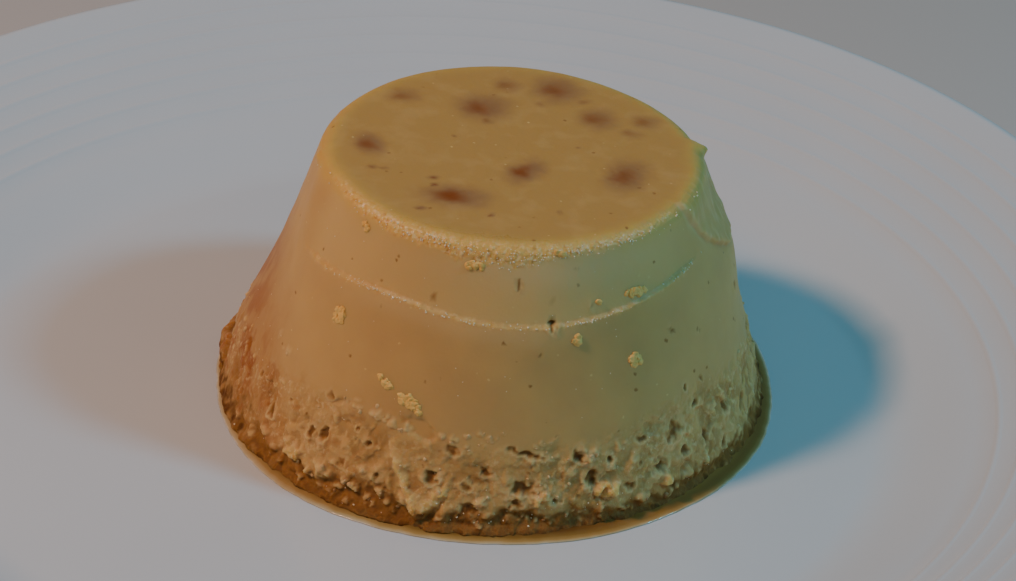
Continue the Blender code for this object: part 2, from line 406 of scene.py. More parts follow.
@dataclass(frozen=True)
class SetCream(Finish):
    """Cream and egg set with gelatine: moist, satin and slightly see-through.

    Light sinks a millimetre or so into it. The top face is browned a little, the rim is
    yellower and full of fine bubbles, and the foot has drunk the syrup.
    """

    side: str = "#D8B16C"
    side_deep: str = "#D0A868"
    panel: str = "#E4C27C"
    top: str = "#C69C56"
    top_pale: str = "#CFA662"
    rim: str = "#DEBA5C"
    stain: str = "#94501F"
    halo: str = "#936C50"
    scorch: str = "#A6642A"
    pore: str = "#A87A40"
    fleck: str = "#E6C882"
    amber: str = "#BE7826"
    granule: str = "#EFD79C"
    froth: str = "#F2C870"
    bubble: str = "#FFEAB4"
    burnt: str = "#C88430"
    wetted: str = "#A07840"
    soak: str = "#623C14"
    # pale: paler curd and froth, and painted highlights on the lower lips of pits and on the flap's
    # rolled edge
    pale: str = "#EACA8C"
    # shade and the deepest hollow colour: partly syrup dregs, partly painted shade in pits, creases and
    # gaps between lumps
    shade: str = "#A07034"
    dregs_and_shade: str = "#6E4822"

    @staticmethod
    def dots(sheet: Sheet, spacing: float, size: float, share: float) -> Socket:
        """Small irregular dots strewn through the cream.

        Args:
            sheet: The material being made.
            spacing: Usual distance between two, in mm.
            size: Radius, as a share of the spacing.
            share: Share of the places that have one.

        Returns:
            1 on a dot and 0 between them.
        """
        shake = sheet.add(
            "VectorMath", {0: sheet.noise(0.6, out="Color"), 1: (0.5, 0.5, 0.5)}, operation="SUBTRACT"
        )
        bent = sheet.add(
            "VectorMath", {0: shake, 1: (0.5 * MM,) * 3, 2: sheet.at}, operation="MULTIPLY_ADD"
        )
        distance = sheet.add("TexVoronoi", {"Vector": bent, "Scale": per_mm(spacing)}, "Distance")
        lot = sheet.add("SeparateColor", {0: distance.node.outputs["Color"]})
        chosen = sheet.sum_of("LESS_THAN", lot, share)
        return sheet.sum_of("MULTIPLY", chosen, sheet.part(distance, size, 0.4 * size))

    @staticmethod
    def patches(
        sheet: Sheet, where: Socket, size: float, start: float, end: float, strength: float
    ) -> Socket:
        """Soft patches of one size over part of the cream.

        Args:
            sheet: The material being made.
            where: Share of the place that is patchy at all.
            size: Size of the pattern, in mm.
            start: The pattern's value where a patch begins.
            end: Its value where a patch is full.
            strength: Share of a full patch.

        Returns:
            The share of the patches.
        """
        full = sheet.part(sheet.noise(size), start, end)
        return sheet.sum_of("MULTIPLY", sheet.sum_of("MULTIPLY", full, strength), where)

    def make(self) -> bpy.types.Material:
        """Build the material and return it."""
        sheet = self.sheet()
        shares = {name: sheet.share(name) for name in SHARES}
        side = sheet.mix(sheet.part(sheet.noise(6.0, 4.0), 0.3, 0.7), self.side, self.side_deep)
        streaks = sheet.part(sheet.noise(4.0, 3.0, 0.3), 0.5, 0.75)
        colour = sheet.mix(shares["top"], side, sheet.mix(streaks, self.top, self.top_pale))
        over = shares | {
            "pore": self.dots(sheet, 2.0, 0.17, 0.14),
            "fleck": self.dots(sheet, 1.5, 0.14, 0.14),
            "amber": self.patches(sheet, shares["crumb"], 2.8, 0.5, 0.72, 0.5),
            "granule": self.patches(sheet, shares["crumb"], 0.7, 0.54, 0.7, 0.6),
            "wetted": sheet.part(shares["soak"], 0.0, 0.5),
            "soak": sheet.part(shares["soak"], 0.4, 1.0),
            "froth": sheet.part(shares["froth"], 0.0, 1.2),
            "burnt": self.patches(sheet, shares["froth"], 1.0, 0.56, 0.66, 0.6),
            "bubble": self.patches(sheet, shares["froth"], 0.6, 0.53, 0.62, 0.55),
            # Hollow share: syrup dregs, and painted shade in pits, creases and gaps
            "shade": sheet.part(shares["hollow"], 0.0, 0.5),
            "dregs_and_shade": sheet.part(shares["hollow"], 0.45, 1.0),
        }
        for layer in (
            "panel", "rim", "pore", "fleck", "halo", "stain", "scorch", "amber", "granule", "wetted",
            "soak", "pale", "froth", "burnt", "bubble", "shade", "dregs_and_shade",
        ):
            colour = sheet.mix(over[layer], colour, getattr(self, layer), layer)
        gloss = sheet.from_to(shares["wet"], self.roughness, 0.16)
        grain = sheet.bump(sheet.noise(0.45), sheet.from_to(shares["grain"], 0.12, 1.0), 0.2)
        return sheet.done({
            "Base Color": colour,
            "Roughness": sheet.sum_of("MULTIPLY_ADD", shares["soak"], 0.35, gloss),
            "Normal": sheet.bump(sheet.noise(2.2, 3.0), 0.25, 0.25, Normal=grain),
            "Subsurface Weight": 0.6,
            "Subsurface Radius": (1.0, 0.6, 0.3),
            "Subsurface Scale": 2.2 * MM,
            "Specular IOR Level": 0.3,
        })


@dataclass(frozen=True)
class CaramelSyrup(Finish):
    """Thin burnt-sugar syrup: brown by the foot, then amber, and a pale film at its edge.

    Where light comes through it from behind it is lighter: that light is painted into its colour.
    """

    deep: str = "#5E3E1A"
    # lit: painted light, a lighter colour where light comes through the syrup from behind
    lit: str = "#AE7C3C"
    bands: tuple[tuple[float, float, str], ...] = (
        (0.05, 0.4, "#745228"), (0.35, 0.64, "#947238"), (0.6, 0.82, "#B69456"),
        (0.8, 0.96, "#D2C298"), (0.95, 1.02, "#E6E5DE"),
    )

    def make(self) -> bpy.types.Material:
        """Build the material and return it."""
        sheet = self.sheet()
        uneven = sheet.sum_of("MULTIPLY_ADD", sheet.noise(3.0, 3.0), 0.2, -0.1)
        thinness = sheet.sum_of("ADD", sheet.share("film"), uneven)
        colour = self.deep
        for start, end, tint in self.bands:
            colour = sheet.mix(sheet.part(thinness, start, end), colour, tint)
        return sheet.done({"Base Color": sheet.mix(sheet.share("lit"), colour, self.lit)})


@dataclass(frozen=True)
class Curd(Finish):
    """Curd in flecks and crumbs: rough and moist, and browned where it stands in syrup."""

    dry: str = "#FFDC86"
    deep: str = "#F0B856"
    soak: str = "#8A5220"

    def make(self) -> bpy.types.Material:
        """Build the material and return it."""
        sheet = self.sheet()
        colour = sheet.mix(sheet.noise(0.9), self.dry, self.deep)
        return sheet.done({
            "Base Color": sheet.mix(sheet.share("soak"), colour, self.soak),
            "Normal": sheet.bump(sheet.noise(0.3), 0.5, 0.08),
            "Specular IOR Level": 0.3,
        })


@dataclass(frozen=True)
class WetBeadAndGlint(Finish):
    """Fine wet froth: beads and bubbles, paler than the cream, partly painted glints."""

    # The pale tint is partly the froth's own colour and partly a painted glint
    tint: str = "#FFF0C4"

    def make(self) -> bpy.types.Material:
        """Build the material and return it."""
        return self.sheet().done({"Base Color": self.tint, "Coat Weight": 1.0, "Coat Roughness": 0.05})


@dataclass(frozen=True)
class FloorPaint(Finish):
    """Matt pale paint for the floor under the object."""

    colour: str = "#CFCAC2"

    def make(self) -> bpy.types.Material:
        """Build the material and return it."""
        return self.sheet().done({"Base Color": self.colour})


# ----------------------------------------------------------------------------- plate


@dataclass
class DessertPlate:
    """The turned porcelain plate: a flat well, a curved wall and a rim with fine rings."""

    radius: float
    height: float
    sides: int = 256
    floor_top: float = 6.5 * MM
    floor_thickness: float = 4.1 * MM
    well_radius: float = 64.3 * MM
    wall_radius: float = 79.0 * MM
    wall_height: float = 11.0 * MM
    wall_steps: int = 20
    rim_thickness: float = 3.4 * MM
    rim_crown: float = 0.12
    foot_radius: float = 56.0 * MM
    foot_width: float = 3.0 * MM
    foot_flare: float = 1.2 * MM
    foot_rounding: float = 0.4 * MM
    ring_count: int = 6
    ring_first: float = 81.5 * MM
    ring_pitch: float = 3.5 * MM
    ring_width: float = 1.3 * MM
    ring_relief: float = 0.15 * MM
    finish: GlazedPorcelain = GlazedPorcelain("glazed_porcelain", 0.2, 1.5)

    def rim_face(self, radius: float) -> float:
        """Height of the rim's upper face, without its rings, at a radius."""
        share = (radius - self.wall_radius) / (self.radius - self.wall_radius)
        climb = self.height - self.wall_height
        return self.wall_height + climb * (share + self.rim_crown * share * (1.0 - share))

    def wall_face(self, radius: float) -> float:
        """Height of the curved wall's upper face at a radius."""
        share = (radius - self.well_radius) / (self.wall_radius - self.well_radius)
        bend = 0.55 * share ** 2 + 0.45 * smooth_step(0.0, 1.0, share)
        return self.floor_top + (self.wall_height - self.floor_top) * bend

    def upper_rings(self) -> list[tuple[float, float]]:
        """Radius and height of each turned ring from the middle of the well to the lip."""
        rings = [(self.well_radius * share, self.floor_top) for share in (0.3, 0.6, 0.9, 1.0)]
        for step in range(1, self.wall_steps + 1):
            radius = self.well_radius + (self.wall_radius - self.well_radius) * step / self.wall_steps
            rings.append((radius, self.wall_face(radius)))
        for bead in range(self.ring_count):
            crest = self.ring_first + bead * self.ring_pitch
            for across in (-1.0, -0.6, -0.2, 0.2, 0.6, 1.0):
                radius = crest + across * self.ring_width / 2
                relief = self.ring_relief * (0.5 + 0.5 * math.cos(math.pi * across))
                rings.append((radius, self.rim_face(radius) + relief))
        lip = self.rim_thickness / 2
        for turn in range(105, -100, -15):
            out, up = lip * math.cos(math.radians(turn)), lip * math.sin(math.radians(turn))
            rings.append((self.radius - lip + out, self.height - lip + up))
        return rings

    def lower_rings(self) -> list[tuple[float, float]]:
        """Radius and height of each turned ring under the plate, from the lip to the middle."""
        underside = self.floor_top - self.floor_thickness
        inner, soft = self.foot_radius - self.foot_width, self.foot_rounding
        under_rim = (self.radius - 9.0 * MM, self.wall_radius + 5.0 * MM)
        return [(radius, self.rim_face(radius) - self.rim_thickness) for radius in under_rim] + [
            (74.0 * MM, 4.6 * MM), (70.0 * MM, 3.3 * MM), (66.0 * MM, 2.4 * MM),
            (self.foot_radius + self.foot_flare, 0.7 * underside),
            (self.foot_radius, soft), (self.foot_radius - soft, 0.0),
            (inner + soft, 0.0), (inner, soft), (inner - self.foot_flare, underside),
            (0.5 * inner, underside), (0.0, underside),
        ]

    def build(self) -> Piece:
        """Turn the plate and dress it.

        Returns:
            The plate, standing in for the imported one.
        """
        plate = extruded_rings(self.upper_rings() + self.lower_rings(), self.sides)
        close_bottom()
        faces_outward(plate)
        settle(plate, "dessert_plate")
        plate.data.materials.append(self.finish.make())
        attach(plate, "root")
        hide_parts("plate")
        return plate


# ---------------------------------------------------------------------- pudding form

REACH = 3.0                         # how many times its own size a spot can be felt
BINS, BIN_TURN = 90, 4.0            # bins of azimuth for the spots, and degrees in each


class Place(NamedTuple):
    """A place on the side: azimuth, height, radius, and its point on the plain side."""

    azimuth: float
    height: float
    radius: float
    point: Vector


class Spot(NamedTuple):
    """A place on the pudding's side and the size of what is there, in degrees and mm."""

    azimuth: float
    height: float
    width: float
    rise: float
    depth: float = 1.0
    slant: float = 0.0

    def distance(self, place: Place) -> float:
        """How far out of the spot's middle a place lies.

        Args:
            place: The place.

        Returns:
            0 in the middle, 1 on the outline, and at most REACH.
        """
        across = math.radians(turn_between(place.azimuth, self.azimuth)) * place.radius / MM
        up = place.height / MM - self.height
        if abs(across) + abs(up) > REACH * (self.width + self.rise):
            return REACH
        along, beside = turned(across, up, self.slant)
        return min(math.hypot(2.0 * along / self.width, 2.0 * beside / self.rise), REACH)


def spots(*rows: tuple[float, ...]) -> tuple[Spot, ...]:
    """Make a spot of each row of numbers."""
    return tuple(Spot(*row) for row in rows)


# Burst bubbles in the crumbly band, and the small pits over it
PITS = spots(
    (-43.8, 7.6, 0.9, 1.5, 1.1), (-40.3, 8.2, 1, 2.2, 1.7, -12), (-41, 13.5, 1.5, 1.1, 0.5),
    (-52, 9.6, 0.7, 0.7, 0.5), (-28.7, 9.3, 1.1, 0.9, 1.1), (-31.5, 10.9, 0.6, 0.6, 0.5),
    (-13.2, 7.1, 1.7, 1.5, 1.7), (-9.5, 10.6, 2, 1.3, 0.7), (-1.4, 8, 1.6, 1.1, 1.4, -28),
    (6.6, 10.5, 5, 0.8, 1.1, -14), (6, 6, 3.2, 2, 1.6, -16), (18.4, 9.7, 1.3, 1.6, 1.7),
    (21.4, 6.4, 1.9, 2.5, 1.9, 18), (25.4, 8.5, 0.9, 1.4, 1.2, 12), (38, 5.4, 2.2, 1.9, 1.9, 40),
    (43.2, 9.1, 3, 2.3, 0.9, 30), (34, 9.9, 1.3, 0.8, 0.9), (51, 11.2, 1.5, 0.9, 1.2, 18),
    (48.6, 13.9, 0.9, 0.9, 0.8), (58.8, 3.4, 1.7, 1.5, 1.3), (-4.7, 3.1, 2.4, 1.9, 1.7, 20),
    (-25, 5.8, 1.1, 1.3, 0.8), (-34, 5.6, 1.1, 1.2, 0.5), (5, 4, 1.8, 1.2, 1.1),
    (-5.4, 6.3, 1.1, 0.9, 0.6), (13.5, 3.9, 1.5, 1), (30, 4.3, 1.5, 1.2, 1.1), (33, 6.8, 0.8, 0.7, 0.6),
    (45.5, 5.9, 1.6, 1.2, 1.1), (53, 5.8, 1.4, 1.6), (62, 7.4, 1.6, 1.9, 0.9),
    (28, 11.7, 0.6, 0.5, 0.4), (13.4, 12.4, 0.6, 0.5, 0.4), (-57.5, 6.6, 1.4, 1.5),
    (-66, 9.4, 0.9, 1.1, 0.7), (55, 13.6, 0.6, 0.7, 0.4), (3.1, 32.4, 0.6, 2.2, 0.45, 8),
    (12.6, 27, 1.1, 1, 1.3), (23.8, 29.3, 0.6, 0.8, 0.6), (12.6, 30.2, 0.4, 0.4, 0.3),
    (19.3, 33.9, 0.5, 0.5, 0.4), (47.2, 22.3, 0.6, 0.8, 0.6), (57, 20.1, 0.6, 0.7, 0.4),
    (87, 9.5, 0.9, 2, 0.6), (-0.1, 24.8, 0.6, 0.4, 0.4), (4.2, 20.6, 0.4, 0.4, 0.4),
    (82, 19.5, 1.2, 1.5, 0.4), (-20.4, 29.4, 0.4, 0.4, 0.3), (9.8, 23.4, 0.8, 0.5, 0.2),
)
# Lumps that stand out of the band
LUMPS = spots(
    (-2.3, 4.2, 3, 0.9, 0.6, 10), (10.2, 4.7, 2.6, 1.5, 0.8, 24), (22.7, 4.6, 1.6, 1.5, 0.9),
    (25, 4.8, 3, 2.4, 1, -10), (39.4, 3.5, 1.9, 1.6, 0.9), (-47.2, 3.6, 2.8, 2.6, 0.9),
    (-38.6, 3.8, 2.6, 2.2, 0.6), (-41.6, 2.6, 1.5, 1.3, 0.6), (-34, 2.2, 1.6, 1.2, 0.5),
    (-31.9, 3.6, 1.3, 1.1, 0.6), (-29.7, 3.1, 1.7, 1.4, 0.7), (-28.9, 5.9, 1.3, 1, 0.4),
    (-26.5, 2, 1.6, 1.2, 0.5), (-24.2, 3.7, 1.6, 1.3, 0.6), (-21.6, 2.4, 1.8, 1.4, 0.5),
    (-18.6, 3.2, 2, 1.7, 0.5), (-36, 5.2, 1.5, 1.1, 0.35), (-26.2, 5.4, 1.4, 1, 0.35),
    (-44, 1.5, 1.8, 1.1, 0.5), (-53, 2.6, 1.6, 1.5, 0.4), (-57.5, 3.8, 1.8, 1.9, 0.4),
    (-62, 2, 1.8, 1.4, 0.4), (-10, 12.3, 1.2, 0.7, 0.35), (-23.5, 12.7, 1.6, 1, 0.4),
    (-28, 13.3, 1.9, 1.2, 0.4, 30), (20.6, 9.2, 1.6, 1.2, 0.4), (27.6, 9.9, 1.3, 1.3, 0.4),
    (44, 8.4, 1.4, 1.2, 0.4), (48, 8, 2, 1.6, 0.5), (57, 9, 2.2, 2, 0.4), (16.5, 7.6, 2.2, 1.6, 0.35),
    (31.5, 8, 2.4, 1.8, 0.35), (-37.5, 10.9, 1.6, 1.1, 0.3), (33, 2.2, 2.4, 1.6, 0.5),
    (45.5, 2.6, 2.2, 1.6, 0.5), (51.5, 3.6, 2.4, 1.8, 0.6), (28, 1.6, 1.8, 1.2, 0.5),
    (-70, 1.7, 1.8, 1, 0.3), (-50.5, 1.3, 1.6, 1, 0.5), (-38, 1.4, 1.5, 1, 0.45),
    (-31, 1.2, 1.4, 0.9, 0.45), (-49.8, 4.8, 1.5, 1.2, 0.35), (-55, 5, 1.4, 1.1, 0.35),
    (-44.5, 4.9, 1.3, 1, 0.35),
)
# Places where the skin has come away, with a sharp edge along the top
SPALLS = spots(
    (-17.6, 12.9, 5.6, 2.5, 0.4, -22), (-38, 13, 3.4, 1, 0.25, 20),
)
# Flecks of curd stuck to the side
FLECKS = spots(
    (37.6, 29.2, 3.5, 1.4, 0.5, -4), (34.6, 20.5, 2.1, 1.9, 0.5), (19, 24.8, 1, 1.4, 0.4),
    (-9.5, 34.2, 2.6, 1.2, 0.3), (-45.8, 23.1, 2.2, 2.4, 0.3), (-20.8, 15.8, 4.4, 1.7, 0.3, -28),
    (-27.5, 17.4, 2.8, 1, 0.3, -30), (14, 36.2, 1.4, 0.9, 0.3), (-46, 34.6, 1.6, 1.2, 0.3),
    (26, 29, 0.7, 0.6, 0.3),
)
# Crumbs on and under the band: azimuth, height, size in mm and how many lie together
CRUMBS = (
    (-20.6, 12.2, 0.6, 3), (-12, 12.4, 0.45, 3), (-9.5, 11.8, 0.4, 4), (-7, 12.6, 0.4, 3),
    (-6.1, 10.9, 0.4, 2), (-3.6, 12.9, 0.35, 3), (-2.2, 12.6, 0.4, 4), (-0.8, 12.4, 0.35, 3),
    (-2.9, 11.8, 0.3, 3), (1.3, 13.2, 0.2, 3), (8.7, 11.3, 0.35, 3), (10.1, 11.7, 0.35, 4),
    (12.4, 11.8, 0.3, 3), (13.2, 9.9, 0.4, 2), (11.5, 10.5, 0.35, 3), (20.6, 9.8, 0.7, 3),
    (22.4, 9.6, 0.6, 3), (20, 8.4, 0.6, 3), (-15.3, 8.9, 0.45, 2), (-19.6, 7.9, 0.4, 3),
    (-11.5, 7.9, 0.4, 3), (-11.8, 6.9, 0.4, 2), (-10.7, 5.4, 0.55, 3), (7.8, 7.4, 0.35, 3),
    (10, 6.7, 0.4, 3), (11.6, 7.3, 0.35, 3), (11.1, 5.2, 0.5, 3), (13, 4.8, 0.5, 3), (15.8, 6, 0.45, 2),
    (-3, 3.7, 0.4, 4), (-0.9, 4.7, 0.4, 3), (8.7, 5.4, 0.45, 2), (-11.1, 1.6, 0.5, 3),
    (-1.9, 1.5, 0.6, 3), (0.4, 2.5, 0.5, 3), (3.5, 2.6, 0.4, 3), (6.1, 1.8, 0.5, 3),
    (-65, 15.9, 0.4, 2), (-59.3, 14.7, 0.5, 3), (-57.4, 11.1, 0.45, 3), (-54.2, 11.6, 0.4, 3),
    (-43.9, 11, 0.3, 3), (-37.1, 13.3, 0.4, 3), (-32.9, 13.5, 0.55, 4), (-28.8, 13.5, 0.6, 4),
    (-25.5, 12.9, 0.5, 3), (-23.1, 9.8, 0.35, 2), (-47, 3.4, 0.7, 3), (-41.5, 2.8, 0.6, 3),
    (-38.3, 3.8, 0.6, 4), (-32, 3.5, 0.5, 3), (-29.8, 3.2, 0.5, 3), (-28.9, 5.9, 0.4, 3),
    (-23.8, 3.6, 0.5, 3), (-20, 1.8, 0.5, 4), (-26, 1.6, 0.5, 4), (-35, 1.4, 0.5, 4),
    (-44, 1.3, 0.5, 3), (-54, 1.2, 0.4, 3), (11, 1.6, 0.5, 3), (15.5, 2, 0.5, 4), (19.5, 1.6, 0.5, 3),
    (24, 2.4, 0.5, 4), (29, 1.6, 0.5, 4), (34, 2, 0.5, 4), (39, 1.5, 0.6, 4), (45, 2.2, 0.5, 3),
    (51, 2.8, 0.6, 4), (58, 2, 0.5, 3), (65, 3, 0.6, 3), (27, 7.4, 0.5, 3), (35, 8.6, 0.4, 4),
    (39.5, 11.4, 0.35, 4), (45, 11.6, 0.35, 4), (30, 9.9, 0.35, 4), (16, 9, 0.35, 3),
)
# Stains on the top face: x and y from its middle, width, length, turn and strength
STAINS = (
    (-15.4, 13.9, 3.4, 2.6, 10, 0.5), (-4.3, 11.9, 5.4, 5.2, 0, 0.75), (-3.4, 7.9, 1.6, 1.4, 0, 0.5),
    (-0.9, 18.9, 3, 3, 0, 0.45), (6.1, 18.4, 4.8, 5.4, 20, 0.7), (11.8, 10.6, 3.8, 4.4, 0, 0.6),
    (18.7, 10.6, 3, 3, 0, 0.45), (16.4, 6.8, 2.6, 1.8, 0, 0.35), (-19.5, -0.6, 2.8, 4.6, 18, 0.75),
    (1.8, -5.8, 3.1, 5, -30, 0.9), (15.6, -5.2, 4, 6.4, -20, 0.7), (-7.6, -13.6, 6.6, 4, -6, 1),
    (-10.5, -8.8, 0.9, 0.8, 0, 0.9), (-10.4, -10.7, 0.9, 0.9, 0, 0.9), (-11.9, -17.4, 0.9, 0.8, 0, 1),
    (-2.6, -18, 0.6, 0.6, 0, 1), (6.4, -16.1, 0.7, 0.6, 0, 0.5), (-18.8, -6.9, 1, 0.8, 0, 0.6),
    (-17.1, -7.2, 0.8, 0.7, 0, 0.5), (21.3, -15.5, 0.9, 0.7, 0, 0.5), (-8, 3, 0.5, 0.5, 0, 0.5),
    (9, 2, 0.5, 0.5, 0, 0.4), (4, 14, 1.4, 1.2, 0, 0.3), (10, 15.5, 1.6, 1.2, 0, 0.35),
)
# Where the foot is eaten away up to: azimuth and height in mm, round the front
CEILING = (
    (-112, 4.5), (-98, 5), (-84, 5), (-72, 5.6), (-65, 6.8), (-59, 4), (-54, 2.6), (-50, 3), (-46, 4.2),
    (-42, 2.6), (-39, 2.6), (-35, 3.6), (-31, 4.8), (-27, 5.2), (-23, 5.2), (-20.5, 4.2), (-15.3, 0.6),
    (-12.6, 2), (-9, 3), (-5, 3.4), (-1, 2.6), (3, 4), (6, 3.8), (11, 2.6), (15, 2), (19, 2.4),
    (23, 1.6), (27, 1.4), (31, 2), (35, 2.4), (39, 1.2), (44, 1.9), (49, 2.5), (53, 1.5), (58, 2.4),
    (64, 1.7), (72, 2.6), (84, 4), (100, 4.6), (112, 4.4),
)


def grains() -> tuple[Spot, ...]:
    """The crumbs that have sunk into the side and stand out of it as small bumps."""
    chance = random.Random(29)
    found = []
    heaps = list(CRUMBS)
    for _ in range(70):
        heaps.append((chance.uniform(72.0, 288.0), 12.8 - abs(chance.gauss(0.0, 4.5)), 0.5, 2))
    for azimuth, height, size, count in heaps:
        for _ in range(count):
            beside, over = chance.gauss(0.0, 0.9 * size), chance.gauss(0.0, 0.6 * size)
            wide, tall = chance.uniform(1.2, 2.2) * size, chance.uniform(1.0, 1.7) * size
            place = turn_between(azimuth + 1.6 * beside, 0.0)
            found.append(Spot(place, height + over, wide, tall, chance.uniform(0.6, 1.0) * size))
    return tuple(found)


def by_azimuth(spots_round: Iterable[Spot]) -> list[list[Spot]]:
    """Sort spots into bins of azimuth, the first from -180, by where they reach."""
    return [
        [
            spot for spot in spots_round
            if abs(turn_between(spot.azimuth, BIN_TURN * number - 178.0))
            < 4.5 + 1.3 * max(spot.width, spot.rise)
        ]
        for number in range(BINS)
    ]


PITS_NEAR, LUMPS_NEAR, GRAINS_NEAR = by_azimuth(PITS), by_azimuth(LUMPS), by_azimuth(grains())


class Crag(NamedTuple):
    """What the crumbly band is like at one place."""

    relief: float
    hollow: float
    soak: float
    pale: float
    spared: float
    froth: float


@dataclass(frozen=True)
class PuddingForm:
    """The form of the pudding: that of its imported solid, with finer crags and marks."""

    x: float = 11.9 * MM
    y: float = 5.4 * MM
    floor: float = 6.8 * MM
    height: float = 37.3 * MM
    foot_radius: float = 38.3 * MM
    top_radius: float = 25.7 * MM
    foot_shift: float = -0.8 * MM
    top_shift: float = 1.1 * MM
    top_slope: float = -0.046
    rim_rounding: float = 1.6 * MM
    panel_azimuth: float = -3.0
    panel_half_width: float = 69.0
    panel_depth: float = 0.36 * MM
    flap_thickness: float = 0.45 * MM
    swellings: Rows = (
        (-99.0, 7.0, 17.0, 6.0, 1.4), (-101.0, 2.4, 5.5, 1.5, 1.5), (97.0, 23.5, 17.0, 4.6, 1.5),
        (103.0, 36.1, 1.5, 0.55, 1.0), (-74.0, 33.0, 4.0, 4.0, 0.5), (-84.0, 36.2, 1.6, 0.5, 0.6),
    )
    flap_edge: Rows = (
        (61.0, 40.0), (63.7, 35.6), (66.0, 33.9), (69.0, 31.7), (72.0, 30.0), (75.4, 28.6),
        (81.5, 26.5), (87.0, 24.9), (94.0, 25.6), (102.0, 29.0), (108.0, 40.0),
    )

    def ledge(self, azimuth: float) -> float:
        """Height of the ledge under the pressed-in panel."""
        turn = turn_between(azimuth, 4.0)
        return (26.9 + 1.3 * bell(turn + 36.0, 14.0) + 2.6 * smooth_step(5.0, 70.0, turn)) * MM

    def across_panel(self, azimuth: float) -> float:
        """1 along the panel and 0 past its ends."""
        turn = abs(turn_between(azimuth, self.panel_azimuth))
        return 1.0 - smooth_step(self.panel_half_width - 12.0, self.panel_half_width, turn)

    def panel(self, azimuth: float, height: float) -> float:
        """Relief of the panel, which is deepest over the ledge.

        Args:
            azimuth: Azimuth of the place.
            height: Height of the place.

        Returns:
            How far the side stands out there, below 0 where it is pressed in.
        """
        ragged = 0.2 * MM * noise.noise(Vector((azimuth / 2.2, 0.0, 7.0)))
        over = height - self.ledge(azimuth) - ragged
        sunk = smooth_step(-0.1 * MM, 0.25 * MM, over)
        fade = 1.0 - 0.65 * smooth_step(2.0 * MM, 9.0 * MM, over)
        broken = 0.6 + 0.9 * noise.noise(Vector((azimuth / 0.9, 0.0, 2.0)))
        lip = 0.06 * MM * bell(over + 0.9 * MM, 0.7 * MM)
        ridge = (0.05 + 0.13 * smooth_step(22.0, 44.0, azimuth)) * MM
        lip += ridge * broken * bell(over + 0.05 * MM, 0.15 * MM)
        return self.across_panel(azimuth) * (lip - self.panel_depth * sunk * fade)

    def over_flap_edge(self, azimuth: float, height: float) -> float:
        """How far inside the torn flap a place is.

        Args:
            azimuth: Azimuth of the place.
            height: Height of the place.

        Returns:
            The distance in mm from the flap's folded edge, below 0 outside it.
        """
        turns, heights = zip(*self.flap_edge)
        per_turn = math.radians(1.0) * 28.0
        slope = np.interp(azimuth, turns, np.gradient(heights, turns)) / per_turn
        return (height / MM - np.interp(azimuth, turns, heights)) / math.hypot(1.0, slope)

    def flap(self, place: Place) -> tuple[float, float, float]:
        """Relief of the torn flap beside the panel and of its rolled edge.

        Args:
            place: The place.

        Returns:
            How far the flap stands out there, how pale it is (its stretched skin, and a painted
            highlight along its rolled edge), and how deep the place lies in the crease under its
            edge, where the side gets painted shade.
        """
        azimuth, height, _, point = place
        if not 60.0 < azimuth < 109.0 or height < 20.0 * MM:
            return 0.0, 0.0, 0.0
        over = self.over_flap_edge(azimuth, height) + 0.25 * cloud(point, 2.0)
        inside = smooth_step(-0.3, 0.75, over)
        crease = bell(over + 0.2, 0.3)
        roll = 0.12 * bell(over - 0.8, 0.6) - 0.12 * crease
        streaks = cloud(Vector((point.x, point.y, 0.15 * point.z)), 0.9)
        torn = 0.12 * inside * streaks + 0.2 * inside * cloud(point, 2.6)
        upper = smooth_step(80.0, 66.0, azimuth)
        # pale: a painted highlight along the rolled edge, and paler streaks of stretched skin inside
        pale = 0.6 * upper * bell(over - 0.2, 0.5) + 0.4 * inside * smooth_step(0.1, 0.5, streaks)
        fade = 1.0 - 0.5 * smooth_step(1.0, 7.0, over)
        # From here on the crease share darkens the place as painted shade under the rolled edge
        crease *= smooth_step(64.0, 72.0, azimuth) * smooth_step(100.0, 84.0, azimuth)
        return self.flap_thickness * inside * fade + (roll + torn) * MM, min(1.0, pale), crease

    def band_share(self, azimuth: float, height: float) -> float:
        """1 in the crumbly band round the foot and 0 above it."""
        top = (12.6 + 1.2 * math.cos(math.radians(4.0 * (azimuth + 41.0)))) * MM
        return 1.0 - smooth_step(top - 3.0 * MM, top + 0.5 * MM, height)

    def front_share(self, azimuth: float) -> float:
        """1 round the front, where pits and lumps are placed singly, 0 round the back."""
        return 1.0 - smooth_step(66.0, 78.0, abs(azimuth))

    def ceiling(self, place: Place) -> float:
        """Height up to which the syrup has eaten the foot away.

        Args:
            place: The place.

        Returns:
            The height, in metres.
        """
        front = between(place.azimuth, CEILING) * MM
        back = 4.4 * MM * (1.0 + 0.8 * cloud(place.point, 7.6))
        share = smooth_step(96.0, 112.0, abs(place.azimuth))
        return front + (back - front) * share + 0.8 * MM * cloud(place.point, 1.7)

    def scattered_pit(self, point: Vector, spacing: float, least: float, more: float) -> float:
        """Burst bubbles of uneven size, strewn at a spacing.

        Args:
            point: The point to judge.
            spacing: Usual distance between two, in mm.
            least: Least radius, as a share of the spacing.
            more: What chance adds to it.

        Returns:
            1 in the middle of a pit and 0 between them.
        """
        apart = spacing * MM
        bent = point + noise.noise_vector(point / (0.6 * apart)) * 0.2 * apart
        distances, centres, *_ = noise.voronoi(bent / apart)
        size = least + more * noise.cell(centres[0] * 31.0)
        return 1.0 - smooth_step(0.45 * size, 1.15 * size, distances[0])

